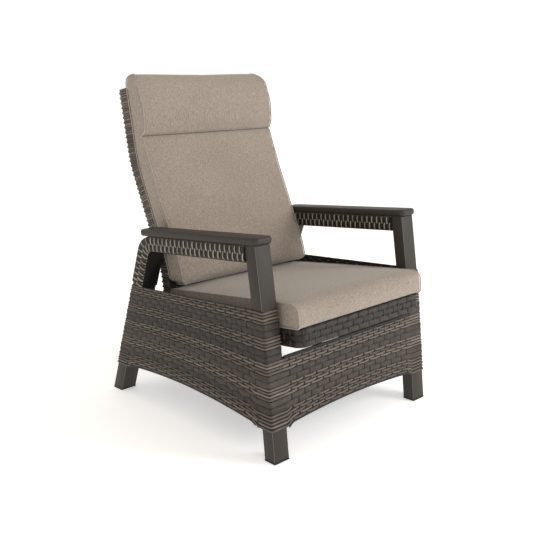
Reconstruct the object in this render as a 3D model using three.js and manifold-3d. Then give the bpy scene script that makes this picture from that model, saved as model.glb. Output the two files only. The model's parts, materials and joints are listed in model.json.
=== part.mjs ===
// A high-back reclining garden armchair: a powder-coated aluminium frame covered in woven
// resin wicker, flat armrest boards, a back that tilts on two pivots, and a seat that hangs on the
// back's lower hinge and glides forward in two curved tracks as the back goes down.
//
// Millimetres. +X is the chair's left-to-right, +Y runs from front to rear, +Z is up.
// While it is laid out, y = 0 is the front face of the front posts at the floor and x = 0
// is the middle. The finished group is moved so that its box stands centred on the origin.

import * as THREE from 'three';
import { mergeVertices } from 'three/addons/utils/BufferGeometryUtils.js';
import Module from 'manifold-3d';

const wasm = await Module();
wasm.setup();

// ---- driving dimensions ------------------------------------------------------------------

const fit = 0.3;                  // gap left between pieces that touch
const running = 0.4;              // radial clearance of a shaft that turns in its hole
const wall = 2;                   // wall of every aluminium tube
const weave = 5;                  // thickness of the woven wicker
const roundSides = 24;            // facets round a shaft or a hole

const width = 700;                // across the outside faces of the posts
const postWidth = 57.5;           // tube of the front posts and rear legs, across the chair
const postDepth = 41.5;           // front post, front to rear
const legDepth = 48;              // rear leg, front to rear
const rearFoot = 751;             // front face of the rear legs at the floor
const frontLean = 0.117;          // rearward travel of the posts per unit of height
const upperLean = 0.16;           // the same above the weave, where the posts bend back
const rearLean = 0.3575;          // forward travel of the rear legs per unit of height
const weaveTop = 432;             // top of the weave on the front posts
const legTop = 400;               // height where the rear leg meets the bent arm tube
const sideTopRear = 394;          // top edge of the side weave at the rear leg
const weaveBottom = 92;           // lower end of the weave on the legs
const archHeight = 120;           // lower edge of the front and rear weave in the middle
const apronTop = 293;             // upper edge of the front and rear weave
const armHeight = 610;            // underside of the armrest over the front post
const armSlope = 0.0925;          // fall of the armrest per unit of length towards the rear
const armFront = 69;              // front end of the armrest
const armRear = 607;              // rear end of the armrest
const armrestWidth = 71.5;
const armrestThick = 21;
const armrestNose = 7;            // radius of the armrest's rounded edge
const armrestCorner = 8;          // plan radius of its front corners, before the nose is added
const railHeight = 47;            // woven arm rail under the armrest, top to bottom
const bendRadius = 45;            // centreline radius where the rear leg turns into the arm
const tubeSize = 25;              // square cross tubes and side rails
const lowerRailHeight = 129;      // underside of the lowest rails
const crossTubeHeight = 258;      // underside of the front and rear cross tubes
const middleRailHeight = 331;     // underside of the side rails that carry the glide tracks
const capThick = 4;               // plastic foot caps
const capPlug = 20;               // how far a foot cap reaches into its tube
const archRise = 12;              // how far the arch falls at its ends and rises at its middle
const stepWidth = 15;             // the step of the weave beside each front leg

const seatHalf = 275;             // half the width of the woven seat frame
const seatFront = -18;            // front of the seat frame
const seatRear = 560;
const seatTop = 381;              // top of the seat frame at its front
const seatSlope = 0.117;          // fall of the seat per unit of length towards the rear
const seatSkirt = 56;             // height of the woven band round the seat
const seatCorner = 30;            // plan radius of the seat's front corners
const seatTube = 30;
const cushionHalf = 279;          // half the width of both cushions
const seatCushionFront = -22;
const seatCushionRear = 547;
const seatCushionThick = 72;
const cushionGap = 1.5;           // free space round the cushions
const cushionRound = 14;          // radius of the cushions' edges
const hingeArmReach = 70;         // how far the seat's hinge arms run forward under it

const backHalf = 280;             // half the width of the woven back
const backDepth = 45;             // woven back, front to rear
const backCushionThick = 74;
const backCushionTop = 1052;
const backCushionBottom = 408;
const backBottom = 392;           // lower end of the woven back
const backTop = 1002;
// Rear face of the back: straight runs between two bends, as [y, z].
const backCorners = [[595, 375], [610, 455], [755, 770], [811, 1060]];
const backBend = 45;              // length of each bend either side of its corner
const backRailGap = 15;           // rear of the back's cross rails, in from its rear face

const pivot = [598, 472];         // where the back tilts on the arm frames
const hinge = [585, 264];         // where the seat hangs on the back
const recline = 25;               // degrees of tilt from upright to fully back
const seatShare = 0.08;           // part of the back's tilt that the seat itself makes
const glidePin = [190, 337];      // front support of the seat, a pin in a curved track
const pinRadius = 5;
const boltRadius = 5;
const shaftRadius = 8;
const trackDepth = 8;             // how far a glide track stands in from the frame
const trackRim = 9;               // plastic round the glide track's slot
const plateThick = 6;             // steel plates of the back's lower hinge
const plateOverlap = 60;          // how far they reach up the back
const lugRadius = 15;             // rounded ends of those plates

const gasFront = [105, 222];      // front eye of the gas spring, on the base
const gasRadius = 11;
const gasNeck = 6;                // radius of the neck between the cylinder and its eye
const gasEye = 9;                 // outer radius of the front eye
const gasPinRadius = 4;
const rodRadius = 5;
const rodEyeWall = 4;             // steel round the rod's slotted eye
const gasBody = [16, 300];        // start and end of the cylinder, measured from the front eye
const rodInner = 262;             // inner end of the rod at rest
const boreStart = 150;            // bottom of the cylinder's bore
const eyeSlack = 1.6;             // side play of the rod's eye, where the linkage is open
const eyeTravel = 5;              // half the length of the eye's upright slot
const leverPivot = [82, 272];
const leverMiddle = 180;          // sideways place of the release lever
const leverWidth = 70;
const leverPinRadius = 3;
const leverBush = 6.5;            // outer radius of the lever round its pin
const sheetThick = 4;             // steel of both brackets and of the lever's plate

const half = width / 2;
const innerX = half - postWidth;

// ---- materials ---------------------------------------------------------------------------

const finishes = {
  frame: { color: 0x4b4743, roughness: 0.55, metalness: 0.3 },
  wicker: { color: 0x514943, roughness: 0.6, metalness: 0 },
  cushion: { color: 0x988c82, roughness: 0.9, metalness: 0 },
  plastic: { color: 0x1e1d1c, roughness: 0.5, metalness: 0 },
  steel: { color: 0x8d8f91, roughness: 0.35, metalness: 0.9 },
  gas: { color: 0x232323, roughness: 0.4, metalness: 0.4 },
};

const chair = new THREE.Group();

function place(name, finish, geometry, parent = chair) {
  const mesh = new THREE.Mesh(geometry, new THREE.MeshStandardMaterial(finishes[finish]));
  mesh.name = name;
  parent.add(mesh);
  return mesh;
}

// ---- solids ------------------------------------------------------------------------------

// three.js geometry to a manifold solid, and back.
function solid(geometry) {
  const bare = geometry.clone();
  bare.deleteAttribute('normal');
  bare.deleteAttribute('uv');
  const merged = mergeVertices(bare, 1e-4);
  const vertProperties = new Float32Array(merged.attributes.position.array);
  const triVerts = new Uint32Array(merged.index.array);
  return new wasm.Manifold(new wasm.Mesh({ numProp: 3, vertProperties, triVerts }));
}

function shell(body) {
  const mesh = body.getMesh();
  const geometry = new THREE.BufferGeometry();
  geometry.setAttribute('position', new THREE.BufferAttribute(mesh.vertProperties, 3));
  geometry.setIndex(new THREE.BufferAttribute(mesh.triVerts, 1));
  geometry.computeVertexNormals();
  return geometry;
}

function cut(geometry, ...tools) {
  const body = tools.reduce((rest, tool) => rest.subtract(solid(tool)), solid(geometry));
  return shell(body);
}

function join(...geometries) {
  return shell(geometries.map(solid).reduce((sum, next) => sum.add(next)));
}

const flat = (points) => new THREE.Shape(points.map(([a, b]) => new THREE.Vector2(a, b)));

// An outline in the side plane (y, z), carried across the chair from x0 to x1.
function sidePrism(outline, x0, x1) {
  const shape = Array.isArray(outline) ? flat(outline) : outline;
  const depth = Math.abs(x1 - x0);
  const geometry = new THREE.ExtrudeGeometry(shape, { depth, bevelEnabled: false, curveSegments: 8 });
  const left = Math.min(x0, x1);
  return geometry.applyMatrix4(new THREE.Matrix4().set(0, 0, 1, left, 1, 0, 0, 0, 0, 1, 0, 0, 0, 0, 0, 1));
}

// An outline in the front plane (x, z) with a thickness in y, leaning by lean per unit height.
function facePrism(outline, yFront, yBack, lean) {
  const depth = yBack - yFront;
  const geometry = new THREE.ExtrudeGeometry(outline, { depth, bevelEnabled: false, curveSegments: 8 });
  const stand = new THREE.Matrix4().set(1, 0, 0, 0, 0, lean, -1, yBack, 0, 1, 0, 0, 0, 0, 0, 1);
  return geometry.applyMatrix4(stand);
}

// A round bar along x, centred on a point of the side plane.
function barX([y, z], radius, x0, x1) {
  const geometry = new THREE.CylinderGeometry(radius, radius, Math.abs(x1 - x0), roundSides);
  return geometry.rotateZ(Math.PI / 2).translate((x0 + x1) / 2, y, z);
}

function boxAt(x0, x1, y0, y1, z0, z1) {
  const geometry = new THREE.BoxGeometry(Math.abs(x1 - x0), y1 - y0, z1 - z0);
  return geometry.translate((x0 + x1) / 2, (y0 + y1) / 2, (z0 + z1) / 2);
}

// A square tube across the chair, open at both ends.
function crossTube(reach, y0, z0, size = tubeSize) {
  const outside = boxAt(-reach, reach, y0, y0 + size, z0, z0 + size);
  const inside = boxAt(-reach - 1, reach + 1, y0 + wall, y0 + size - wall, z0 + wall, z0 + size - wall);
  return cut(outside, inside);
}

// The outline of two round ends joined by straight sides.
function linkOutline(a, b, radius) {
  const along = Math.atan2(b[1] - a[1], b[0] - a[0]);
  const shape = new THREE.Shape();
  shape.absarc(b[0], b[1], radius, along - Math.PI / 2, along + Math.PI / 2);
  shape.absarc(a[0], a[1], radius, along + Math.PI / 2, along + 1.5 * Math.PI);
  shape.closePath();
  return shape;
}

// A line through corners, each corner turned into a smooth bend.
function bentLine(corners, bend, steps = 5) {
  const points = corners.map(([y, z]) => new THREE.Vector2(y, z));
  const line = [points[0]];
  for (let i = 1; i < points.length - 1; i += 1) {
    const into = points[i].clone().sub(points[i - 1]).setLength(bend);
    const out = points[i + 1].clone().sub(points[i]).setLength(bend);
    const curve = new THREE.QuadraticBezierCurve(
      points[i].clone().sub(into), points[i], points[i].clone().add(out));
    line.push(...curve.getPoints(steps));
  }
  line.push(points[points.length - 1]);
  return line;
}

const sides = [['left', -1], ['right', 1]];

// ---- the lines that the frame follows ----------------------------------------------------

// Front face of the front posts at a height.
function postFace(z) {
  return frontLean * Math.min(z, weaveTop) + upperLean * Math.max(0, z - weaveTop);
}

const legFace = (z) => rearFoot - rearLean * z;
const armUnderside = (y) => armHeight - armSlope * (y - postFace(armHeight));

// Front post between two heights, taken in by an inset front and rear. Its top may fall
// towards the rear, to lie along the armrest.
function postOutline(z0, z1, inset, topFall = 0) {
  const heights = [z0, weaveTop, z1].filter((z, i) => i !== 1 || (z > z0 && z < z1));
  const front = heights.map((z) => [postFace(z) + inset, z]);
  heights[heights.length - 1] -= topFall;
  const rear = heights.map((z) => [postFace(z) + postDepth - inset, z]);
  return [...front, ...rear.reverse()];
}

function legOutline(z0, z1, inset) {
  const corners = [[inset, z0], [inset, z1], [legDepth - inset, z1], [legDepth - inset, z0]];
  return corners.map(([y, z]) => [legFace(z) + y, z]);
}

// The bent band from the rear leg's top, round the bend and forward to the front post.
// halfLeg and halfRail are half its height there, start is its lower end, over lets it
// run on past both ends.
function bandOutline(halfLeg, halfRail, start, over) {
  const up = new THREE.Vector2(-rearLean, 1).normalize();
  const ahead = new THREE.Vector2(-1, armSlope).normalize();
  const legMiddle = rearFoot + legDepth / 2;
  const railMiddle = armUnderside(0) - fit - railHeight / 2;
  const cornerZ = (railMiddle - armSlope * legMiddle) / (1 - armSlope * rearLean);
  const corner = new THREE.Vector2(legMiddle - rearLean * cornerZ, cornerZ);
  const turn = ahead.angle() - up.angle();
  const reach = bendRadius * Math.tan(turn / 2);
  const steps = 8;
  const inward = new THREE.Vector2(-up.y, up.x);
  const centre = corner.clone().addScaledVector(up, -reach).addScaledVector(inward, bendRadius);
  const outer = [];
  const inner = [];
  for (let i = 0; i <= steps; i += 1) {
    const angle = (turn * i) / steps;
    const radial = inward.clone().negate().rotateAround(new THREE.Vector2(), angle);
    const size = halfLeg + ((halfRail - halfLeg) * i) / steps;
    outer.push(centre.clone().addScaledVector(radial, bendRadius + size));
    inner.push(centre.clone().addScaledVector(radial, bendRadius - size));
  }
  for (const edge of [outer, inner]) {
    const foot = edge[0].clone().addScaledVector(up, (start - over - edge[0].y) / up.y);
    const last = edge[steps];
    const short = last.x - (postFace(last.y) + postDepth + fit - over);
    const end = last.clone().addScaledVector(ahead, short / (upperLean * ahead.y - ahead.x));
    edge.unshift(foot);
    edge.push(end);
  }
  return new THREE.Shape([...outer, ...inner.reverse()]);
}

// ---- frame: posts, legs, arm tubes, foot caps --------------------------------------------

const wrapOut = half + weave;
const wrapIn = innerX - weave + 0.5;
const railHalf = railHeight / 2;

for (const [side, s] of sides) {
  const topFall = armSlope * postDepth * 1.1;   // a tenth more than the armrest's own fall
  const outline = postOutline(capThick + fit, armHeight - fit, 0, topFall);
  const inside = postOutline(0, armHeight + wall, wall);
  place(`front_post_${side}`, 'frame',
    cut(sidePrism(outline, s * innerX, s * half),
      sidePrism(inside, s * (innerX + wall), s * (half - wall))));

  place(`rear_leg_${side}`, 'frame',
    cut(sidePrism(legOutline(capThick + fit, legTop, 0), s * innerX, s * half),
      sidePrism(legOutline(0, legTop + 1, wall), s * (innerX + wall), s * (half - wall))));

  const tubeLeg = Math.cos(Math.atan(rearLean)) * legDepth / 2;
  const tubeRail = railHalf - weave;
  place(`arm_tube_${side}`, 'frame',
    cut(sidePrism(bandOutline(tubeLeg, tubeRail, legTop + fit, 0), s * innerX, s * half),
      sidePrism(bandOutline(tubeLeg - wall, tubeRail - wall, legTop, wall * 3),
        s * (innerX + wall), s * (half - wall))));

  place(`arm_weave_${side}`, 'wicker',
    cut(sidePrism(bandOutline(tubeLeg + weave, railHalf, legTop + fit, 0), s * wrapIn, s * wrapOut),
      sidePrism(bandOutline(tubeLeg + fit, tubeRail + fit, legTop, wall * 3),
        s * (innerX - fit), s * (half + fit)),
      barX(pivot, boltRadius + fit, s * (wrapIn - 1), s * innerX)));

  const plugInset = wall + fit;
  place(`foot_cap_front_${side}`, 'plastic',
    join(sidePrism(postOutline(0, capThick, 0), s * innerX, s * half),
      sidePrism(postOutline(capThick / 2, capThick + capPlug, plugInset),
        s * (innerX + plugInset), s * (half - plugInset))));
  place(`foot_cap_rear_${side}`, 'plastic',
    join(sidePrism(legOutline(0, capThick, 0), s * innerX, s * half),
      sidePrism(legOutline(capThick / 2, capThick + capPlug, plugInset),
        s * (innerX + plugInset), s * (half - plugInset))));
}

// ---- armrests ----------------------------------------------------------------------------

const armrestCentre = half - postWidth / 2;

function armrestBoard() {
  const inset = armrestNose;
  const length = (armRear - armFront) * Math.hypot(1, armSlope);
  const w = armrestWidth / 2 - inset;
  const r = armrestCorner;
  const shape = new THREE.Shape();
  shape.moveTo(-w + r, inset);
  shape.lineTo(w - r, inset);
  shape.quadraticCurveTo(w, inset, w, inset + r);
  shape.lineTo(w, length - inset - 2 * r);
  shape.quadraticCurveTo(w, length - inset, w - 2 * r, length - inset);
  shape.lineTo(-w + 2 * r, length - inset);
  shape.quadraticCurveTo(-w, length - inset, -w, length - inset - 2 * r);
  shape.lineTo(-w, inset + r);
  shape.quadraticCurveTo(-w, inset, -w + r, inset);
  const geometry = new THREE.ExtrudeGeometry(shape, {
    depth: armrestThick - 2 * armrestNose,
    bevelThickness: armrestNose,
    bevelSize: armrestNose,
    bevelSegments: 3,
    curveSegments: 3,
  });
  return geometry.translate(0, 0, armrestNose);
}

for (const [side, s] of sides) {
  const rest = new THREE.Group();
  rest.position.set(s * armrestCentre, armFront, armUnderside(armFront) + fit);
  rest.rotation.x = -Math.atan(armSlope);
  place(`armrest_${side}`, 'frame', armrestBoard(), rest);
  chair.add(rest);
}

// ---- rails and cross tubes ---------------------------------------------------------------

// A side rail between the front post and the rear leg, with its ends cut to their lean.
function sideRail(z0, x0, x1) {
  const outline = (inset, over) => {
    const low = z0 + inset;
    const high = z0 + tubeSize - inset;
    const frontEnd = (z) => postFace(z) + postDepth + fit - over;
    const rearEnd = (z) => legFace(z) - fit + over;
    return [[frontEnd(low), low], [rearEnd(low), low], [rearEnd(high), high], [frontEnd(high), high]];
  };
  const low = Math.min(x0, x1);
  const high = Math.max(x0, x1);
  return cut(sidePrism(outline(0, 0), low, high),
    sidePrism(outline(wall, 3 * wall), low + wall, high - wall));
}

for (const [side, s] of sides) {
  place(`side_lower_rail_${side}`, 'frame', sideRail(lowerRailHeight, s * (half - tubeSize), s * half));
  place(`side_middle_rail_${side}`, 'frame',
    sideRail(middleRailHeight, s * (innerX + 1), s * (innerX + 1 + tubeSize)));
}

const tubeReach = innerX - fit;
const frontTubeY = postFace(crossTubeHeight + tubeSize) + fit;
const rearTubeY = legFace(crossTubeHeight + tubeSize) + legDepth - fit - tubeSize;
place('front_cross_tube', 'frame', crossTube(tubeReach, frontTubeY, crossTubeHeight));
place('front_lower_rail', 'frame',
  crossTube(tubeReach, postFace(lowerRailHeight + tubeSize) + fit, lowerRailHeight));
place('rear_cross_tube', 'frame', crossTube(tubeReach, rearTubeY, crossTubeHeight));
place('rear_lower_rail', 'frame',
  crossTube(tubeReach, legFace(lowerRailHeight + tubeSize) + legDepth - fit - tubeSize, lowerRailHeight));

// ---- woven skins of the base -------------------------------------------------------------

function sideSkinOutline() {
  const shape = new THREE.Shape();
  const rear = (z) => legFace(z) + legDepth;
  shape.moveTo(postFace(weaveBottom), weaveBottom);
  shape.lineTo(postFace(weaveTop), weaveTop);
  shape.lineTo(postFace(weaveTop) + postDepth + weave, weaveTop);
  shape.lineTo(legFace(sideTopRear), sideTopRear);
  shape.lineTo(rear(sideTopRear), sideTopRear);
  shape.lineTo(rear(weaveBottom + archRise / 2), weaveBottom + archRise / 2);
  shape.lineTo(legFace(weaveBottom) - weave, archHeight - archRise);
  const archMiddle = (postFace(weaveBottom) + rear(weaveBottom)) / 2;
  const frontRise = postDepth + 4 * stepWidth;
  shape.quadraticCurveTo(archMiddle, archHeight + 2 * archRise, frontRise, archHeight);
  shape.quadraticCurveTo(
    postDepth + 1.5 * stepWidth, archHeight, postDepth + stepWidth, weaveBottom);
  return shape;
}

function endSkinOutline(earTop) {
  const shape = new THREE.Shape();
  const inner = innerX - 1;
  const low = archHeight - archRise;
  shape.moveTo(-wrapOut, weaveBottom);
  shape.lineTo(-wrapOut, earTop);
  shape.lineTo(-innerX, earTop);
  shape.lineTo(-innerX, apronTop);
  shape.lineTo(innerX, apronTop);
  shape.lineTo(innerX, earTop);
  shape.lineTo(wrapOut, earTop);
  shape.lineTo(wrapOut, weaveBottom);
  shape.lineTo(inner, weaveBottom);
  shape.quadraticCurveTo(inner - stepWidth / 2, low, inner - 2 * stepWidth, low);
  shape.quadraticCurveTo(0, archHeight + archRise, -inner + 2 * stepWidth, low);
  shape.quadraticCurveTo(-inner + stepWidth / 2, low, -inner, weaveBottom);
  return shape;
}

for (const [side, s] of sides) {
  place(`side_weave_${side}`, 'wicker', sidePrism(sideSkinOutline(), s * (half + fit), s * wrapOut));
}
place('front_weave', 'wicker', facePrism(endSkinOutline(weaveTop), -weave, -fit, frontLean));
place('rear_weave', 'wicker',
  facePrism(endSkinOutline(sideTopRear), rearFoot + legDepth + fit, rearFoot + legDepth + weave, -rearLean));

// ---- motion: where the back, the hinge and the seat go -----------------------------------

// A point of the side plane turned about a centre; a positive angle leans it back.
function turned([y, z], [cy, cz], angle) {
  const dy = y - cy;
  const dz = z - cz;
  return [cy + dy * Math.cos(angle) + dz * Math.sin(angle), cz - dy * Math.sin(angle) + dz * Math.cos(angle)];
}

// The back turns about the pivot; the seat turns the other way about the hinge it hangs on.
const fullTilt = THREE.MathUtils.degToRad(recline);
const seatPoint = (p, angle) => turned(turned(p, hinge, -(1 - seatShare) * angle), pivot, angle);

// ---- pivots and glide tracks -------------------------------------------------------------

const trackIn = innerX - trackDepth;

function trackOutline(margin) {
  const steps = 8;
  const path = [];
  for (let i = -1; i <= steps + 1; i += 1) {
    const stretch = Math.min(Math.max(i, 0), steps) / steps;
    path.push(new THREE.Vector2(...seatPoint(glidePin, fullTilt * stretch)));
  }
  path[0].addScaledVector(path[1].clone().sub(path[2]).normalize(), margin);
  path[steps + 2].addScaledVector(path[steps + 1].clone().sub(path[steps]).normalize(), margin);
  const upper = [];
  const lower = [];
  path.forEach((p, i) => {
    const before = path[Math.max(i - 1, 0)];
    const after = path[Math.min(i + 1, path.length - 1)];
    const along = after.clone().sub(before).normalize();
    upper.push(new THREE.Vector2(p.x - along.y * margin, p.y + along.x * margin));
    lower.push(new THREE.Vector2(p.x + along.y * margin, p.y - along.x * margin));
  });
  return new THREE.Shape([...upper, ...lower.reverse()]);
}

for (const [side, s] of sides) {
  place(`glide_track_${side}`, 'plastic',
    cut(sidePrism(trackOutline(pinRadius + trackRim), s * trackIn, s * (innerX + 1 - fit)),
      sidePrism(trackOutline(pinRadius + 2 * running), s * (trackIn - 1), s * (innerX + 2))));

  place(`back_pivot_bolt_${side}`, 'steel',
    barX(pivot, boltRadius, s * (backHalf - 30), s * (innerX - fit)));
  place(`back_pivot_washer_${side}`, 'plastic',
    cut(barX(pivot, 2.4 * boltRadius, s * (backHalf + fit), s * (wrapIn - fit)),
      barX(pivot, boltRadius + fit, s * backHalf, s * (wrapIn + 1))));
}

// ---- back: rails, weave, hinge plates, cushion -------------------------------------------

const backLine = bentLine(backCorners, backBend);
const weaveInset = weave + fit;
const hingeClear = 8;             // the hinge plates stand this far in from the woven back

// The back's rear face at a height, by running along the bent line.
function backFace(z) {
  let i = 1;
  while (i < backLine.length - 1 && backLine[i].y < z) i += 1;
  const a = backLine[i - 1];
  const b = backLine[i];
  return a.x + ((b.x - a.x) * (z - a.y)) / (b.y - a.y);
}

// A closed side outline between two offsets forward of the back's rear face.
function backOutline(z0, z1, near, far) {
  const middle = backLine.map((p) => p.y).filter((z) => z > z0 + 1 && z < z1 - 1);
  const heights = [z0, ...middle, z1];
  const rear = heights.map((z) => [backFace(z) - near, z]);
  const front = heights.map((z) => [backFace(z) - far, z]);
  return [...rear, ...front.reverse()];
}

const railFar = backDepth - 2;
const railNear = weaveInset;
const railOut = backHalf - weaveInset;
const railIn = railOut - tubeSize;
const boltHole = boltRadius + running;

place('back_weave', 'wicker',
  cut(sidePrism(backOutline(backBottom, backTop, 0, backDepth), -backHalf, backHalf),
    sidePrism(backOutline(backBottom - 5, backTop - weave, weave, backDepth + 5),
      -backHalf + weave, backHalf - weave),
    barX(pivot, boltHole, -backHalf - 1, -backHalf + weave + 1),
    barX(pivot, boltHole, backHalf + 1, backHalf - weave - 1)));

for (const [side, s] of sides) {
  place(`back_rail_${side}`, 'frame',
    cut(sidePrism(backOutline(backBottom - 4, backTop - weaveInset, railNear, railFar),
      s * railIn, s * railOut),
      sidePrism(backOutline(backBottom - 10, backTop, railNear + wall, railFar - wall),
        s * (railIn + wall), s * (railOut - wall)),
      barX(pivot, boltHole, s * (railIn - 1), s * (railOut + 1))));
}

// Cross rails of the back, square tubes set between the side rails.
function backCrossRail(z0) {
  const y0 = Math.max(backFace(z0), backFace(z0 + tubeSize)) - backRailGap - tubeSize;
  return crossTube(railIn - fit, y0, z0);
}

place('back_top_rail', 'frame', backCrossRail(backTop - weaveInset - tubeSize));
place('back_middle_rail', 'frame', backCrossRail(backCorners[2][1] - tubeSize / 2));
const backLowerRail = backBottom + 8;
place('back_lower_rail', 'frame', backCrossRail(backLowerRail));

const plateOut = railIn - fit;
const plateIn = plateOut - plateThick;
const armOut = plateIn - running;
const hingePlateTop = [backFace(backBottom) - weave - lugRadius - hingeClear, backBottom + plateOverlap];

for (const [side, s] of sides) {
  place(`hinge_plate_${side}`, 'steel',
    cut(sidePrism(linkOutline(hinge, hingePlateTop, lugRadius), s * plateIn, s * plateOut),
      barX(hinge, shaftRadius + fit, s * (plateIn - 1), s * (plateOut + 1)),
      boxAt(s * (plateIn - 1), s * (plateOut + 1), hingePlateTop[0] - plateOverlap,
        hingePlateTop[0] + plateOverlap, backLowerRail - fit, hingePlateTop[1] + plateOverlap)));
}
place('hinge_shaft', 'steel', barX(hinge, shaftRadius, -plateOut - 2, plateOut + 2));

const cushionRear = backDepth + cushionGap;
const cushionFront = cushionRear + backCushionThick;

function backCushionOutline() {
  const body = backOutline(
    backCushionBottom + 1.5 * cushionRound, backCushionTop - cushionRound, cushionRear, cushionFront);
  const bottomY = backFace(backCushionBottom) - (cushionRear + cushionFront) / 2;
  const topY = backFace(backCushionTop) - (cushionRear + cushionFront) / 2;
  const count = body.length / 2;
  const lip = backCushionThick / 2 - cushionRound;
  const topEdge = [[topY + lip, backCushionTop], [topY - lip, backCushionTop]];
  const slant = seatSlope * lip;                // its underside lies along the seat
  const bottomEdge = [
    [bottomY - lip, backCushionBottom + slant], [bottomY + lip, backCushionBottom - slant]];
  return [...body.slice(0, count), ...topEdge, ...body.slice(count), ...bottomEdge];
}
place('back_cushion', 'cushion', sidePrism(backCushionOutline(), -cushionHalf, cushionHalf));

// ---- seat: woven frame, rails, hinge arms, glide pins, cushion ---------------------------

const seatAngle = Math.atan(seatSlope);
const seat = new THREE.Group();
seat.position.set(0, seatFront, seatTop);
seat.rotation.x = -seatAngle;
chair.add(seat);
const seatLength = (seatRear - seatFront) / Math.cos(seatAngle);

// A plan outline with rounded front corners, in the seat's own tilted plane.
function seatPlan(inset, length) {
  const w = seatHalf - inset;
  const r = seatCorner - inset;
  const shape = new THREE.Shape();
  shape.moveTo(-w, length);
  shape.lineTo(-w, inset + r);
  shape.absarc(-w + r, inset + r, r, Math.PI, 1.5 * Math.PI);
  shape.absarc(w - r, inset + r, r, 1.5 * Math.PI, 2 * Math.PI);
  shape.lineTo(w, length);
  return shape;
}

const slab = (shape, depth, top) => new THREE.ExtrudeGeometry(shape, {
  depth, bevelEnabled: false, curveSegments: 6,
}).translate(0, 0, top - depth);

place('seat_weave', 'wicker',
  cut(slab(seatPlan(0, seatLength), seatSkirt, 0),
    slab(seatPlan(weave, seatLength + 1), seatSkirt, -weave)), seat);

// Square tubes in the seat's plane: x, then along the seat, then below the weave.
function seatTubeAlong(x0, x1, y0, y1, height) {
  const top = -weaveInset;
  const outside = boxAt(x0, x1, y0, y1, top - height, top);
  const across = Math.abs(x1 - x0) > Math.abs(y1 - y0);
  const inX = across ? -1 : wall;
  const inY = across ? wall : -1;
  const low = Math.min(x0, x1) + inX;
  const high = Math.max(x0, x1) - inX;
  return cut(outside, boxAt(low, high, y0 + inY, y1 - inY, top - height + wall, top - wall));
}

const seatRailOut = seatHalf - weaveInset;
const seatRailIn = seatRailOut - tubeSize;
const frontRailEnd = seatHalf - seatCorner;
const seatRailFront = weaveInset + tubeSize + weave;
for (const [side, s] of sides) {
  place(`seat_rail_${side}`, 'frame',
    seatTubeAlong(s * seatRailIn, s * seatRailOut, seatRailFront, seatLength, seatTube), seat);
}
place('seat_front_rail', 'frame',
  seatTubeAlong(-frontRailEnd, frontRailEnd, weaveInset, weaveInset + tubeSize, seatTube), seat);
place('seat_rear_rail', 'frame',
  seatTubeAlong(-armOut + plateThick + fit, armOut - plateThick - fit,
    seatLength - tubeSize - 2 * weave, seatLength - 2 * weave, tubeSize), seat);

const armStartY = seatRear - hingeArmReach;
const armStartFall = seatSlope * (armStartY - seatFront) + weave + lugRadius + 3;
const armStart = [armStartY, seatTop - armStartFall];
for (const [side, s] of sides) {
  place(`seat_hinge_arm_${side}`, 'steel',
    cut(sidePrism(linkOutline(armStart, hinge, lugRadius), s * (armOut - plateThick), s * armOut),
      barX(hinge, shaftRadius + running, s * (armOut - plateThick - 1), s * (armOut + 1))));
  place(`glide_pin_${side}`, 'steel', barX(glidePin, pinRadius, s * (seatHalf + fit), s * (innerX - 1)));
}

// Seat cushion: front edge upright, top and bottom parallel to the seat.
function seatCushionOutline() {
  const length = seatCushionRear - seatCushionFront;
  const bottom = cushionGap;
  const top = bottom + seatCushionThick;
  const r = cushionRound;
  const lift = (y, z) => [seatCushionFront + y, seatTop + z - seatSlope * (seatCushionFront + y - seatFront)];
  const shape = new THREE.Shape();
  shape.moveTo(...lift(r, bottom));
  shape.lineTo(...lift(length - r, bottom));
  shape.quadraticCurveTo(...lift(length, bottom), ...lift(length, bottom + r));
  shape.lineTo(...lift(length, top - r));
  shape.quadraticCurveTo(...lift(length, top), ...lift(length - r, top));
  shape.lineTo(...lift(r, top));
  shape.quadraticCurveTo(...lift(0, top), ...lift(0, top - r));
  shape.lineTo(...lift(0, bottom + r));
  shape.quadraticCurveTo(...lift(0, bottom), ...lift(r, bottom));
  return shape;
}
place('seat_cushion', 'cushion', sidePrism(seatCushionOutline(), -cushionHalf, cushionHalf));

// ---- gas spring --------------------------------------------------------------------------

const pinHalf = 15;               // half the length of the gas spring's front pin
const eyeHalf = 7;                // half the width of both eyes
const lugDrop = 8;                // how far the bracket starts below the top of its tube
const tubeBack = frontTubeY + tubeSize + fit;
const tubeTop = crossTubeHeight + tubeSize;

function gasBracket() {
  const cheekRound = gasEye + sheetThick;
  const cheekIn = eyeHalf + 2;
  const cheekOut = cheekIn + sheetThick;
  const cheek = new THREE.Shape();
  cheek.moveTo(tubeBack, tubeTop - lugDrop);
  cheek.lineTo(tubeBack, gasFront[1] + 2);
  cheek.lineTo(gasFront[0] - sheetThick, gasFront[1] - cheekRound);
  cheek.absarc(gasFront[0], gasFront[1], cheekRound, -0.6 * Math.PI, 0.3 * Math.PI);
  const web = boxAt(-cheekIn - 1, cheekIn + 1, tubeBack, tubeBack + sheetThick,
    gasFront[1] + lugDrop, tubeTop - lugDrop - 2);
  return cut(join(sidePrism(cheek, -cheekOut, -cheekIn), sidePrism(cheek, cheekIn, cheekOut), web),
    barX(gasFront, gasPinRadius + fit, -pinHalf, pinHalf));
}

const gasAngle = Math.atan2(hinge[1] - gasFront[1], hinge[0] - gasFront[0]);
const gasLength = Math.hypot(hinge[1] - gasFront[1], hinge[0] - gasFront[0]);

// A round bar along the gas spring's axis, between two distances from its front eye.
function gasBar(radius, from, to) {
  const geometry = new THREE.CylinderGeometry(radius, radius, to - from, roundSides);
  geometry.translate(0, (from + to) / 2, 0);
  return geometry.rotateX(gasAngle).translate(0, gasFront[0], gasFront[1]);
}

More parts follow.
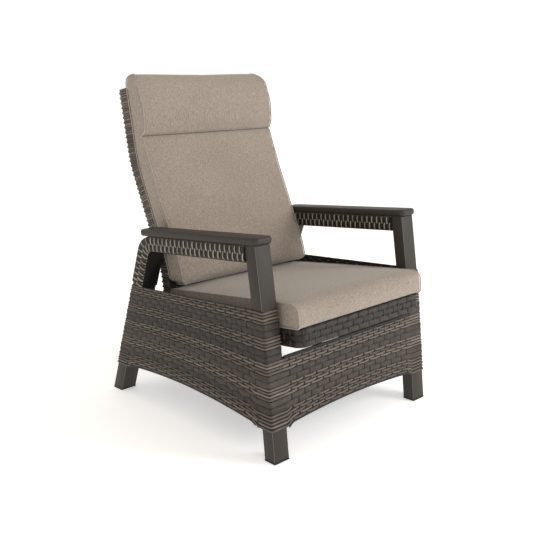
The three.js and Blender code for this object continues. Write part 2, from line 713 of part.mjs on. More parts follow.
place('gas_spring_bracket', 'steel', gasBracket());
place('gas_spring_pin', 'steel', barX(gasFront, gasPinRadius, -pinHalf, pinHalf));
place('gas_spring_cylinder', 'gas',
  cut(join(gasBar(gasRadius, ...gasBody), gasBar(gasNeck, gasPinRadius, gasBody[0] + 2),
    barX(gasFront, gasEye, -eyeHalf, eyeHalf)),
  gasBar(rodRadius + running, boreStart, gasBody[1] + 1),
  barX(gasFront, gasPinRadius + running, -eyeHalf - 1, eyeHalf + 1)));
const eyeHole = shaftRadius + eyeSlack;

// The rod's eye is an upright slot round the hinge shaft: the shaft's arc rises and falls in it.
function eyeOutline(radius) {
  return linkOutline([hinge[0], hinge[1] - eyeTravel], [hinge[0], hinge[1] + eyeTravel], radius);
}
place('gas_spring_rod', 'steel',
  cut(join(gasBar(rodRadius, rodInner, gasLength - eyeHole - 1),
    sidePrism(eyeOutline(eyeHole + rodEyeWall), -eyeHalf, eyeHalf)),
    sidePrism(eyeOutline(eyeHole), -eyeHalf - 1, eyeHalf + 1)));

// ---- release lever -----------------------------------------------------------------------

const leverLow = leverMiddle - leverWidth / 2;
const leverHigh = leverMiddle + leverWidth / 2;
const earRadius = 2 * sheetThick;

function leverBracket() {
  const [y, z] = leverPivot;
  const x0 = leverLow - earRadius;
  const x1 = leverHigh + earRadius;
  const ear = (from, to) => join(
    boxAt(from, to, tubeBack, y, z - earRadius, z + earRadius), barX(leverPivot, earRadius, from, to));
  const plate = boxAt(x0, x1, tubeBack, tubeBack + sheetThick, z - earRadius, z + earRadius);
  return cut(join(plate, ear(x0, x0 + sheetThick), ear(x1 - sheetThick, x1)),
    barX(leverPivot, leverPinRadius + fit, x0 - 1, x1 + 1));
}

function leverPaddle() {
  const foot = leverPivot[1] + 2;
  const rear = leverPivot[0] + 3;
  const under = tubeTop + sheetThick;
  const nose = frontTubeY + sheetThick;
  const paddle = flat([[rear - 6, foot], [rear - 6, under], [nose, under],
    [nose, under + sheetThick], [rear, under + sheetThick], [rear, foot]]);
  return cut(join(sidePrism(paddle, leverLow, leverHigh), barX(leverPivot, leverBush, leverLow, leverHigh)),
    barX(leverPivot, leverPinRadius + running, leverLow - 1, leverHigh + 1));
}

place('lever_bracket', 'steel', leverBracket());
place('lever_pin', 'steel',
  barX(leverPivot, leverPinRadius, leverLow - earRadius - 1, leverHigh + earRadius + 1));
place('release_lever', 'plastic', leverPaddle());

// ---- stand the chair centred on its own box ----------------------------------------------

chair.updateMatrixWorld(true);
const bounds = new THREE.Box3().setFromObject(chair, true);
chair.position.y = -(bounds.min.y + bounds.max.y) / 2;
chair.position.z = -bounds.min.z;

export default chair;
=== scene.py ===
# %% [markdown]
# # A reclining garden armchair in woven resin wicker
# The mechanical model of the chair is already made: its posts, rails, pivots and gas spring are
# loaded as a fixed frame. This lesson dresses that frame. It weaves the wicker strand by strand,
# pads the two cushions with a cloth simulation, softens the edges of the aluminium, and gives
# every piece a finish made of shader nodes.

# %% Load the frame
import json
import math
import random

import bpy
import numpy as np
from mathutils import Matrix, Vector


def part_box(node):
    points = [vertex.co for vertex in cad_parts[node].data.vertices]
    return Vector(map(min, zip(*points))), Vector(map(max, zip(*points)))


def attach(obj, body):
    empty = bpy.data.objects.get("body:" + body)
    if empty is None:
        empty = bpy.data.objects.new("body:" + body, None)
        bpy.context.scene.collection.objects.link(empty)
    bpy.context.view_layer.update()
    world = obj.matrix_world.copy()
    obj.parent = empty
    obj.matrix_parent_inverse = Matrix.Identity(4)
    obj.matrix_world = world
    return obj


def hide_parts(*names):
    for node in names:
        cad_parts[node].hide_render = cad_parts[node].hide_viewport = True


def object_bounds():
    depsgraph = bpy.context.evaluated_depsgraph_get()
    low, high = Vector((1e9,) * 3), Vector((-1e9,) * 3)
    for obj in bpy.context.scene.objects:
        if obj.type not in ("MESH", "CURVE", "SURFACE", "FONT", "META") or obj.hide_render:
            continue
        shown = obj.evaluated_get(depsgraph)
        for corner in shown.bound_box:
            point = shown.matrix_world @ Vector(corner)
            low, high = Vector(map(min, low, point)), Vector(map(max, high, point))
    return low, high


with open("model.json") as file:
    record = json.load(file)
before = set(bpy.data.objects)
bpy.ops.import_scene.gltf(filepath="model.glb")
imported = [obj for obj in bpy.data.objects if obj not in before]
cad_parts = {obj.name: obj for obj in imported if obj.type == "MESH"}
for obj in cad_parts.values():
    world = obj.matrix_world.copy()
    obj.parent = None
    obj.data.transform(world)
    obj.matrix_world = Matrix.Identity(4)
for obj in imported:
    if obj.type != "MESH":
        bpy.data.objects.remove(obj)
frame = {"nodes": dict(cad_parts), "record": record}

cad_box = [list(corner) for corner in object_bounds()]
print("frame:", len(frame["nodes"]), "nodes, box", cad_box)

# %% [markdown]
# The camera stands where a person looks at the chair from its front left, a little above the
# arms. A lens of 54 mm on a 36 mm sensor gives the mild perspective of a product picture.

# %% Camera
CAMERA_PLACE = (-1.7683, -1.8325, 1.0628)
CAMERA_TURN = math.radians(-43.995)
CAMERA_DOWN = math.radians(13.901)

camera_data = bpy.data.cameras.new("camera")
camera_data.lens = 53.58
camera_data.sensor_width = 36
camera = bpy.data.objects.new("camera", camera_data)
camera.location = CAMERA_PLACE
camera.rotation_euler = (math.pi / 2 - CAMERA_DOWN, 0, CAMERA_TURN)
bpy.context.scene.collection.objects.link(camera)
bpy.context.scene.camera = camera
print("camera at", CAMERA_PLACE)

# %% [markdown]
# The room is plain: a pale floor and a white sky that fills every shadow. The sky is darker and
# warmer overhead, so the top of a cushion is darker than its front. A large soft light stands in
# front of the chair on the right, a weak one hangs above it, and a small low one on the left
# draws a light line down the edges of the posts.


# %% Light and floor
CHAIR_MIDDLE = (0, 0, 0.45)
FLOOR_GAP = 0.0005


def soft_light(name, place, size, power):
    """A round soft light that looks at the middle of the chair."""
    data = bpy.data.lights.new(name, "AREA")
    data.shape = "DISK"
    data.size = size
    data.energy = power
    light = bpy.data.objects.new(name, data)
    light.location = place
    beam = Vector(CHAIR_MIDDLE) - Vector(place)
    light.rotation_euler = beam.to_track_quat("-Z", "Y").to_euler()
    bpy.context.scene.collection.objects.link(light)


soft_light("front_light", (1.5, -2.6, 1.6), 1.4, 46)
soft_light("top_light", (-0.5, 0.2, 3.2), 2.2, 4)
soft_light("edge_light", (-2.4, -2.4, 0.3), 0.4, 5)

world = bpy.data.worlds.new("white_room")
world.use_nodes = True
sky = world.node_tree.nodes["Background"]
direction = world.node_tree.nodes.new("ShaderNodeTexCoord")
split = world.node_tree.nodes.new("ShaderNodeSeparateXYZ")
world.node_tree.links.new(direction.outputs["Generated"], split.inputs["Vector"])
overhead = world.node_tree.nodes.new("ShaderNodeValToRGB")
for stop, position, colour in zip(
        overhead.color_ramp.elements, (0.25, 0.9), ((1, 1, 1, 1), (0.62, 0.56, 0.47, 1))):
    stop.position = position
    stop.color = colour
world.node_tree.links.new(split.outputs["Z"], overhead.inputs["Fac"])
world.node_tree.links.new(overhead.outputs["Color"], sky.inputs["Color"])
bpy.context.scene.world = world


def deselect():
    if bpy.context.object and bpy.context.object.mode != "OBJECT":
        bpy.ops.object.mode_set(mode="OBJECT")
    bpy.ops.object.select_all(action="DESELECT")


deselect()
bpy.ops.mesh.primitive_plane_add(size=40, location=(0, 0, cad_box[0][2] - FLOOR_GAP))
floor = bpy.context.object
floor.name = "floor"
print("floor at", cad_box[0][2])

# %% [markdown]
# ## Finishes
# Every finish is a small tree of shader nodes. Effects that several finishes share are node
# groups, each built once: a fine speckle, as powder coat and moulded plastic have, and slow
# clouds of tone, which keep a large face from looking like one flat colour.


# %% Node helpers
def add_node(tree, kind, **values):
    """A node with the named inputs set, or its own settings where it has no such input."""
    node = tree.nodes.new(kind)
    for name, value in values.items():
        socket = name.replace("_", " ").title()
        if socket in node.inputs:
            node.inputs[socket].default_value = value
        else:
            setattr(node, name, value)
    return node


def ramp(tree, factor, stops):
    """A colour ramp: stops are (position, colour)."""
    node = tree.nodes.new("ShaderNodeValToRGB")
    elements = node.color_ramp.elements
    while len(elements) < len(stops):
        elements.new(0.5)
    for element, (position, colour) in zip(elements, stops):
        element.position = position
        element.color = (*colour, 1)
    tree.links.new(factor, node.inputs["Fac"])
    return node.outputs["Color"]


def mix(tree, factor, a, b, blend="MIX"):
    """Two colours mixed. Each argument is a socket or a constant."""
    node = tree.nodes.new("ShaderNodeMix")
    node.data_type = "RGBA"
    node.blend_type = blend
    for index, value in ((0, factor), (6, a), (7, b)):
        if isinstance(value, bpy.types.NodeSocket):
            tree.links.new(value, node.inputs[index])
        else:
            node.inputs[index].default_value = value
    return node.outputs[2]


def math_node(tree, operation, a, b=0.0):
    node = tree.nodes.new("ShaderNodeMath")
    node.operation = operation
    for index, value in ((0, a), (1, b)):
        if isinstance(value, bpy.types.NodeSocket):
            tree.links.new(value, node.inputs[index])
        else:
            node.inputs[index].default_value = value
    return node.outputs[0]


def srgb(red, green, blue):
    """A colour as a paint chart gives it, 0 to 255, turned into the renderer's linear light."""
    shares = [part / 255 for part in (red, green, blue)]
    return tuple(((c + 0.055) / 1.055) ** 2.4 if c > 0.04 else c / 12.92 for c in shares)


def new_material(name, roughness, metallic=0.0):
    material = bpy.data.materials.new(name)
    material.use_nodes = True
    shader = material.node_tree.nodes["Principled BSDF"]
    shader.inputs["Roughness"].default_value = roughness
    shader.inputs["Metallic"].default_value = metallic
    return material, material.node_tree, shader


def bump(tree, shader, height, strength, distance):
    node = add_node(tree, "ShaderNodeBump", strength=strength, distance=distance)
    tree.links.new(height, node.inputs["Height"])
    tree.links.new(node.outputs["Normal"], shader.inputs["Normal"])


print("helpers ready")


# %% Shared node group: speckle and clouds
def texture_group(name):
    """Object coordinates in; a fine speckle and slow clouds out, both from 0 to 1."""
    group = bpy.data.node_groups.new(name, "ShaderNodeTree")
    for label, default in (("Speckle Size", 900.0), ("Cloud Size", 7.0)):
        socket = group.interface.new_socket(label, in_out="INPUT", socket_type="NodeSocketFloat")
        socket.default_value = default
    for label in ("Speckle", "Clouds"):
        group.interface.new_socket(label, in_out="OUTPUT", socket_type="NodeSocketFloat")
    inside = group.nodes.new("NodeGroupInput")
    outside = group.nodes.new("NodeGroupOutput")
    place = group.nodes.new("ShaderNodeTexCoord")
    for label, size_label, detail in (
            ("Speckle", "Speckle Size", 2.0), ("Clouds", "Cloud Size", 3.0)):
        noise = add_node(group, "ShaderNodeTexNoise", detail=detail, roughness=0.55)
        group.links.new(place.outputs["Object"], noise.inputs["Vector"])
        group.links.new(inside.outputs[size_label], noise.inputs["Scale"])
        group.links.new(noise.outputs["Fac"], outside.inputs[label])
    return group


surface_texture = texture_group("speckle_and_clouds")


def use_texture(tree, speckle_size, cloud_size):
    node = tree.nodes.new("ShaderNodeGroup")
    node.node_tree = surface_texture
    node.inputs["Speckle Size"].default_value = speckle_size
    node.inputs["Cloud Size"].default_value = cloud_size
    return node.outputs["Speckle"], node.outputs["Clouds"]


print("shared texture group:", surface_texture.name)

# %% [markdown]
# The frame is powder-coated aluminium, a warm dark grey with a fine satin texture. Plastic,
# plated steel and the black enamel of the gas spring follow the same recipe with other values:
# a base tone, clouds that shift it a little, a speckle that feeds both colour and bump. The
# long edges of the posts and legs get a lighter colour, a painted highlight where they catch the
# light.


# %% Hard finishes
def hard_finish(name, dark, light, roughness, metallic, speckle_size, grain, coat=0.0):
    material, tree, shader = new_material(name, roughness, metallic)
    speckle, clouds = use_texture(tree, speckle_size, 9.0)
    tone = math_node(tree, "ADD", math_node(tree, "MULTIPLY", speckle, 0.45),
                     math_node(tree, "MULTIPLY", clouds, 0.55))
    colour = ramp(tree, tone, [(0.3, dark), (0.7, light)])
    tree.links.new(colour, shader.inputs["Base Color"])
    spread = math_node(tree, "MULTIPLY_ADD", clouds, 0.22)
    spread.node.inputs[2].default_value = roughness - 0.11
    tree.links.new(spread, shader.inputs["Roughness"])
    bump(tree, shader, speckle, grain, 0.0004)
    shader.inputs["Coat Weight"].default_value = coat
    shader.inputs["Specular IOR Level"].default_value = 0.3
    return material


coated_aluminium = hard_finish(
    "coated_aluminium", srgb(44, 39, 34), srgb(52, 46, 40), 0.5, 0.0, 1400, 0.25)
# The lighter finish for the bevelled edges is a painted highlight, not wear.
edge_highlight_aluminium = hard_finish(
    "edge_highlight_aluminium", srgb(92, 85, 78), srgb(112, 104, 96), 0.45, 0.0, 1400, 0.25)
moulded_plastic = hard_finish(
    "moulded_plastic", srgb(28, 27, 26), srgb(40, 38, 37), 0.55, 0.0, 1100, 0.3)
plated_steel = hard_finish(
    "plated_steel", srgb(126, 128, 130), srgb(162, 163, 165), 0.36, 0.9, 700, 0.12)
black_enamel = hard_finish(
    "black_enamel", srgb(24, 24, 25), srgb(34, 34, 35), 0.32, 0.0, 900, 0.08, coat=0.4)
print("hard finishes:", [m.name for m in bpy.data.materials])

# %% [markdown]
# The wicker strands are extruded resin, streaked along their length in two or three greys and
# browns. Each strand carries three attributes that the weaving writes: how far along it a point
# is, where across it, and a tone of its own. The streaks are noise stretched along the strand,
# and fine ribs run along the wide flat strands. The loops on the arms are the lightest, and the
# stakes and the lining behind the rows are nearly black, painted shade for the gaps in the weave.


# %% Wicker finish
def attribute(tree, name):
    node = tree.nodes.new("ShaderNodeAttribute")
    node.attribute_name = name
    return node.outputs["Fac"]


def combine(tree, x, y, z):
    node = tree.nodes.new("ShaderNodeCombineXYZ")
    for index, value in enumerate((x, y, z)):
        tree.links.new(value, node.inputs[index])
    return node.outputs[0]


def wicker_finish(name, dark, middle, light, ribs):
    material, tree, shader = new_material(name, 0.5)
    along = attribute(tree, "strand_along")
    across = attribute(tree, "strand_across")
    tone = attribute(tree, "strand_tone")
    scaled = [math_node(tree, "MULTIPLY", value, scale)
              for value, scale in ((along, 14), (across, 2.2), (tone, 90))]
    place = combine(tree, *scaled)
    streaks = add_node(tree, "ShaderNodeTexNoise", scale=2.4, detail=3.0, roughness=0.6)
    tree.links.new(place, streaks.inputs["Vector"])
    shade = math_node(tree, "ADD", math_node(tree, "MULTIPLY", streaks.outputs["Fac"], 0.72),
                      math_node(tree, "MULTIPLY", tone, 0.28))
    colour = ramp(tree, shade, [(0.28, dark), (0.5, middle), (0.72, light)])
    tree.links.new(colour, shader.inputs["Base Color"])
    if ribs:
        wave = math_node(tree, "SINE", math_node(tree, "MULTIPLY", across, ribs))
        height = math_node(tree, "ADD", wave, streaks.outputs["Fac"])
        bump(tree, shader, height, 0.5, 0.0006)
    else:
        bump(tree, shader, streaks.outputs["Fac"], 0.35, 0.0008)
    shader.inputs["Specular IOR Level"].default_value = 0.35
    return material


RIBS_PER_HALF = 14.0
round_wicker = wicker_finish(
    "round_wicker", srgb(46, 38, 32), srgb(84, 74, 65), srgb(130, 119, 107), 0)
loop_wicker = wicker_finish(
    "loop_wicker", srgb(80, 72, 62), srgb(126, 116, 104), srgb(166, 156, 142), 0)
flat_wicker = wicker_finish(
    "flat_wicker", srgb(22, 18, 15), srgb(42, 35, 30), srgb(72, 63, 54), RIBS_PER_HALF)
# Near-black stakes: painted shade in the gaps behind the rows.
painted_shade_stake_wicker = wicker_finish(
    "painted_shade_stake_wicker", srgb(14, 12, 11), srgb(22, 19, 17), srgb(34, 30, 27), 0)
# Near-black strands for linings, hems and runners: painted shade in the gaps and at the edges of
# the weave.
painted_shade_wicker = wicker_finish(
    "painted_shade_wicker", srgb(10, 9, 8), srgb(15, 13, 12), srgb(23, 20, 18), 0)
print("wicker finishes ready")

# %% [markdown]
# The cushions wear a heathered outdoor fabric: threads of several taupes cross each other, so
# the cloth has short flecks both ways and a slow change of tone. A light sheen stands for the
# loose fibres that catch light at a slant.


# %% Fabric finish
def thread_noise(tree, place, stretch, detail=2.0):
    """Noise stretched along one axis, as the flecks of a melange yarn are."""
    mapping = add_node(tree, "ShaderNodeMapping", scale=stretch)
    tree.links.new(place, mapping.inputs["Vector"])
    noise = add_node(tree, "ShaderNodeTexNoise", scale=1.0, detail=detail, roughness=0.6)
    tree.links.new(mapping.outputs["Vector"], noise.inputs["Vector"])
    return noise.outputs["Fac"]


def fabric_finish(name, dark, middle, light):
    material, tree, shader = new_material(name, 0.92)
    place = tree.nodes.new("ShaderNodeTexCoord").outputs["Object"]
    weft = thread_noise(tree, place, (160, 700, 760))
    warp = thread_noise(tree, place, (620, 300, 110))
    flecks = math_node(tree, "ADD", math_node(tree, "MULTIPLY", weft, 0.4),
                       math_node(tree, "MULTIPLY", warp, 0.6))
    colour = ramp(tree, flecks, [(0.36, dark), (0.5, middle), (0.64, light)])
    speckle, clouds = use_texture(tree, 1500, 5.0)
    tint = ramp(tree, clouds, [(0.3, (0.9, 0.9, 0.9)), (0.7, (1.0, 1.0, 1.0))])
    tree.links.new(mix(tree, 1.0, colour, tint, "MULTIPLY"), shader.inputs["Base Color"])
    height = math_node(tree, "ADD", flecks, math_node(tree, "MULTIPLY", speckle, 0.5))
    bump(tree, shader, height, 0.35, 0.0012)
    shader.inputs["Sheen Weight"].default_value = 0.25
    shader.inputs["Sheen Roughness"].default_value = 0.5
    return material


cushion_fabric = fabric_finish(
    "cushion_fabric", srgb(122, 111, 100), srgb(145, 133, 121), srgb(168, 156, 143))
# Piping a little lighter than the cover: a painted highlight along the seams.
piping_painted_highlight = fabric_finish(
    "piping_painted_highlight", srgb(140, 130, 119), srgb(160, 150, 139), srgb(180, 170, 159))
# A dark cord for the headrest crease: painted shade in the crease.
painted_crease_shade = fabric_finish(
    "painted_crease_shade", srgb(52, 46, 40), srgb(66, 59, 52), srgb(82, 74, 66))

bpy.context.scene.view_settings.view_transform = "Standard"
floor_material, floor_tree, floor_shader = new_material("pale_floor", 0.8)
floor_shader.inputs["Base Color"].default_value = (0.98, 0.98, 0.98, 1)
floor_shader.inputs["Emission Color"].default_value = (1, 1, 1, 1)
floor_shader.inputs["Emission Strength"].default_value = 0.4
floor.data.materials.append(floor_material)
print("fabric and floor ready")

# %% [markdown]
# The mechanical nodes keep their shapes and take the finish that their record names. A CAD
# node's mesh already has one material, so it is only exchanged.

# %% Finish the mechanical nodes
finishes = {
    "coated_aluminium": coated_aluminium,
    "resin_wicker": round_wicker,
    "cushion_fabric": cushion_fabric,
    "moulded_plastic": moulded_plastic,
    "plated_steel": plated_steel,
    "black_enamel": black_enamel,
}
slot_of = {part["node"]: part["material_slot"] for part in frame["record"]["subparts"]}
for node_name, cad_object in frame["nodes"].items():
    cad_object.data.materials.clear()
    cad_object.data.materials.append(finishes[slot_of[node_name]])
print("finished", len(slot_of), "nodes")

# %% [markdown]
# ## The lines that the frame follows
# The front posts lean back a little, more so above the weave, and the rear legs lean forward.
# These few functions give the outside faces of the frame at a height. Everything woven is laid
# on them.

# %% Frame lines
HALF_WIDTH = -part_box("foot_cap_front_left")[0].x
INNER_X = -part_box("foot_cap_front_left")[1].x
FRONT_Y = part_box("foot_cap_front_left")[0].y
REAR_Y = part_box("foot_cap_rear_left")[1].y
POST_DEPTH = 0.0415
LEG_DEPTH = 0.048
FRONT_LEAN = 0.117
UPPER_LEAN = 0.16
REAR_LEAN = 0.3575
WEAVE_TOP = 0.432
WEAVE_BOTTOM = 0.092
SIDE_TOP_REAR = 0.394
REAR_BOTTOM = 0.098
APRON_TOP = 0.291


def post_front(z):
    """Front face of the front posts."""
    lower = FRONT_Y + FRONT_LEAN * np.minimum(z, WEAVE_TOP)
    return lower + UPPER_LEAN * np.maximum(0, z - WEAVE_TOP)


def leg_rear(z):
    """Rear face of the rear legs."""
    return REAR_Y - REAR_LEAN * z


print("posts from", FRONT_Y, "to", REAR_Y, "half width", HALF_WIDTH)

# %% [markdown]
# ## Weaving
# A strand is a thin closed body that bends, twists and changes width along its way. An array
# along a curve can't do that, because the rows of this chair fan out and round its corners. So
# each strand starts as a flat grid, and its vertices are rolled into a tube round a path that
# is worked out in code. One blank grid is kept for each number of rings and copied for every
# strand of that length.

# %% Strand blank
SECTION = 8
ROUND = 1.0
FLAT = 0.42
blanks = {}


def strand_blank(rings):
    """A flat grid with one row of vertices for each ring of the strand."""
    if rings not in blanks:
        deselect()
        bpy.ops.mesh.primitive_grid_add(x_subdivisions=SECTION, y_subdivisions=rings - 1, size=1)
        grid = bpy.context.object
        co = np.empty(len(grid.data.vertices) * 3, np.float32)
        grid.data.vertices.foreach_get("co", co)
        co = co.reshape(-1, 3)
        corner = np.rint((co[:, 0] + 0.5) * SECTION).astype(int)
        ring = np.rint((co[:, 1] + 0.5) * (rings - 1)).astype(int)
        blanks[rings] = (grid.data.copy(), ring, corner)
        bpy.data.objects.remove(grid)
    return blanks[rings]


def unit(vectors):
    return vectors / np.linalg.norm(vectors, axis=-1, keepdims=True)


def lay_strand(points, normals, width, thick, tone, shape=ROUND, closed=False):
    """One strand along points, its flat side turned to normals. Gives an object."""
    if closed:
        points = np.vstack([points, points[:1]])
        normals = np.vstack([normals, normals[:1]])
        before = np.vstack([points[-2:-1], points[:-1]])
        after = np.vstack([points[1:], points[1:2]])
    else:
        before = np.vstack([points[:1], points[:-1]])
        after = np.vstack([points[1:], points[-1:]])
    tangent = unit(after - before)
    side = unit(np.cross(tangent, normals))
    out = unit(np.cross(side, tangent))
    blank, ring, corner = strand_blank(len(points))
    angle = corner * 2 * math.pi / SECTION
    across = np.sign(np.cos(angle)) * np.abs(np.cos(angle)) ** shape
    lift = np.sign(np.sin(angle)) * np.abs(np.sin(angle)) ** shape
    half = np.broadcast_to(np.asarray(width, float) / 2, (len(points),))[ring]
    co = (points[ring] + side[ring] * (across * half)[:, None]
          + out[ring] * (lift * thick / 2)[:, None])
    mesh = blank.copy()
    mesh.vertices.foreach_set("co", co.astype(np.float32).ravel())
    steps = np.linalg.norm(np.diff(points, axis=0), axis=1)
    along = np.concatenate([[0], np.cumsum(steps)])[ring]
    tones = np.full(len(ring), tone)
    values = {"strand_along": along, "strand_across": across, "strand_tone": tones}
    for name, value in values.items():
        attribute_data = mesh.attributes.new(name, "FLOAT", "POINT").data
        attribute_data.foreach_set("value", value.astype(np.float32))
    strand = bpy.data.objects.new("strand", mesh)
    bpy.context.scene.collection.objects.link(strand)
    return strand


def join_strands(name, strands):
    """Joins (strand, material) pairs into one piece and closes every seam and end."""
    deselect()
    for strand, material in strands:
        strand.data.materials.append(material)
        strand.select_set(True)
    bpy.context.view_layer.objects.active = strands[0][0]
    bpy.ops.object.join()
    piece = bpy.context.object
    piece.name = name
    bpy.ops.object.mode_set(mode="EDIT")
    bpy.ops.mesh.select_all(action="SELECT")
    bpy.ops.mesh.remove_doubles(threshold=0.00001)
    bpy.ops.mesh.fill_holes(sides=SECTION)
    bpy.ops.mesh.normals_make_consistent(inside=False)
    bpy.ops.object.mode_set(mode="OBJECT")
    return piece


def weave(name, strands, body, *nodes):
    piece = join_strands(name, strands)
    bpy.ops.object.shade_smooth_by_angle(angle=math.radians(50))
    finish_piece(piece, "resin_wicker", body, *nodes)
    print(name, len(strands), "strands,", len(piece.data.polygons), "faces")


def finish_piece(piece, slot, body, *nodes):
    if nodes:
        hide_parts(*nodes)
    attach(piece, body)
    deselect()


print("strand section has", SECTION, "sides")

# %% [markdown]
# The base is woven in bands: four narrow round strands, then two wide flat ones, and again,
# with five round strands at the foot. Each row goes in front of one stake and behind the next,
# and the row below does the opposite, which makes the brick-like pattern. A thin lining lies
# under every row, as the layers behind a real weave do, so no light shows through; it is nearly
# black, painted shade for the gaps between the rows. The lower edge is a flat arch, and beside
# each post the last rows drop to the foot.

# %% Row pattern
ROUND_WIDTH = 0.0092
FLAT_WIDTH = 0.018
BAND = ["round"] * 4 + ["flat"] * 2
PATTERN = BAND * 4 + ["round"] * 5
ROW_THICK = {"round": 0.0034, "flat": 0.0018}
ROW_FILL = {"round": 0.66, "flat": 0.97}
ROW_SWING = {"round": 1.0, "flat": 0.6}
ROW_SHAPE = {"round": ROUND, "flat": FLAT}
ROW_FINISH = {"round": round_wicker, "flat": flat_wicker}
STAKE_THICK = 0.0014
OFFSET = 0.0029
LINING_DEPTH = 0.0011
LINING_THICK = 0.0012
LINING_OVERLAP = 0.0015
SWING = 0.0015
STEP = 0.0065
CORNER = 0.004
SIDE_RUN = 0.72
SIDE_STAKES = 28
APRON_STAKES = 22
POST_SWING = 0.25
rng = random.Random(7)


def row_tone():
    """Rows differ a little in tone, none of them as dark as the stakes behind."""
    return 0.35 + 0.6 * rng.random()


def row_fractions(pattern):
    """The middle and width of each row as fractions of the panel's height, from the top."""
    widths = [ROUND_WIDTH if kind == "round" else FLAT_WIDTH for kind in pattern]
    total = sum(widths)
    rows = []
    at = 0
    for kind, width in zip(pattern, widths):
        rows.append((kind, (at + width / 2) / total, width / total))
        at += width
    return rows


def smooth(value):
    value = np.clip(value, 0, 1)
    return value * value * (3 - 2 * value)


FRONT_PART = 0.066
REAR_PART = 0.075
FOOT_CURVE = 0.045
FOOT_STEP = 0.011
APRON_ARCH = 0.015
ARCH_RISE = 0.023
STEP_SHARE = 7


def side_top(t):
    """Top edge of the side panel. t goes from 0 at the front corner to 1 at the rear one."""
    return np.interp(t, [FRONT_PART, 1 - REAR_PART], [WEAVE_TOP, SIDE_TOP_REAR])


def side_arch(t):
    """The flat arch that the lower rows follow between the posts."""
    run = np.clip((t - FRONT_PART) / (1 - FRONT_PART - REAR_PART), 0, 1)
    ends = WEAVE_BOTTOM + (REAR_BOTTOM - WEAVE_BOTTOM) * smooth(t) + FOOT_STEP
    return ends + ARCH_RISE * np.sin(math.pi * run) ** 0.8


def foot_step(inside):
    """1 on a post and 0 beyond its foot curve, where the last rows drop to the leg."""
    return 1 - smooth(inside / FOOT_CURVE)


def side_step(t):
    nearest = np.minimum(t - FRONT_PART, 1 - REAR_PART - t)
    return FOOT_STEP * foot_step(nearest)


def side_bottom(t):
    """Bottom edge of the side panel: low on the posts and a flat arch between them."""
    return side_arch(t) - side_step(t)


def corner_height(top, low, fraction):
    """Height of a row on a post: the rows keep their spacing and only the last ones drop."""
    arched = top + (low + FOOT_STEP - top) * fraction
    return arched - FOOT_STEP * fraction ** STEP_SHARE


def side_height(t, fraction):
    """Height of a row, given as a fraction of the panel's height from the top."""
    arched = side_top(t) + (side_arch(t) - side_top(t)) * fraction
    return arched - side_step(t) * fraction ** STEP_SHARE


def apron_arch(x):
    """How far the lower rows of the front and rear panels rise between the posts."""
    return APRON_ARCH * (1 - (np.abs(x) / INNER_X) ** 2)


def apron_step(x):
    return FOOT_STEP * foot_step((1 - np.abs(x) / INNER_X) / 2)


print(len(PATTERN), "rows")

# %% [markdown]
# A row of the side starts on the rear leg, turns its corner, runs along the side, turns the
# front corner and ends at the inner edge of the front post, where the strands of the front
# panel take over. Rows above the front panel go on round the post instead.


# %% Side panels
def face_run(start, end, count):
    return np.linspace(start, end, max(2, count))


def corner_arc(x, y, first, last):
    """Points of a rounded corner about (x, y) and the directions out from it."""
    angle = np.linspace(math.radians(first), math.radians(last), 5)
    out = np.stack([np.cos(angle), np.sin(angle), np.zeros(5)], 1)
    centre = np.array([x, y, 0])
    return centre + out * CORNER, out


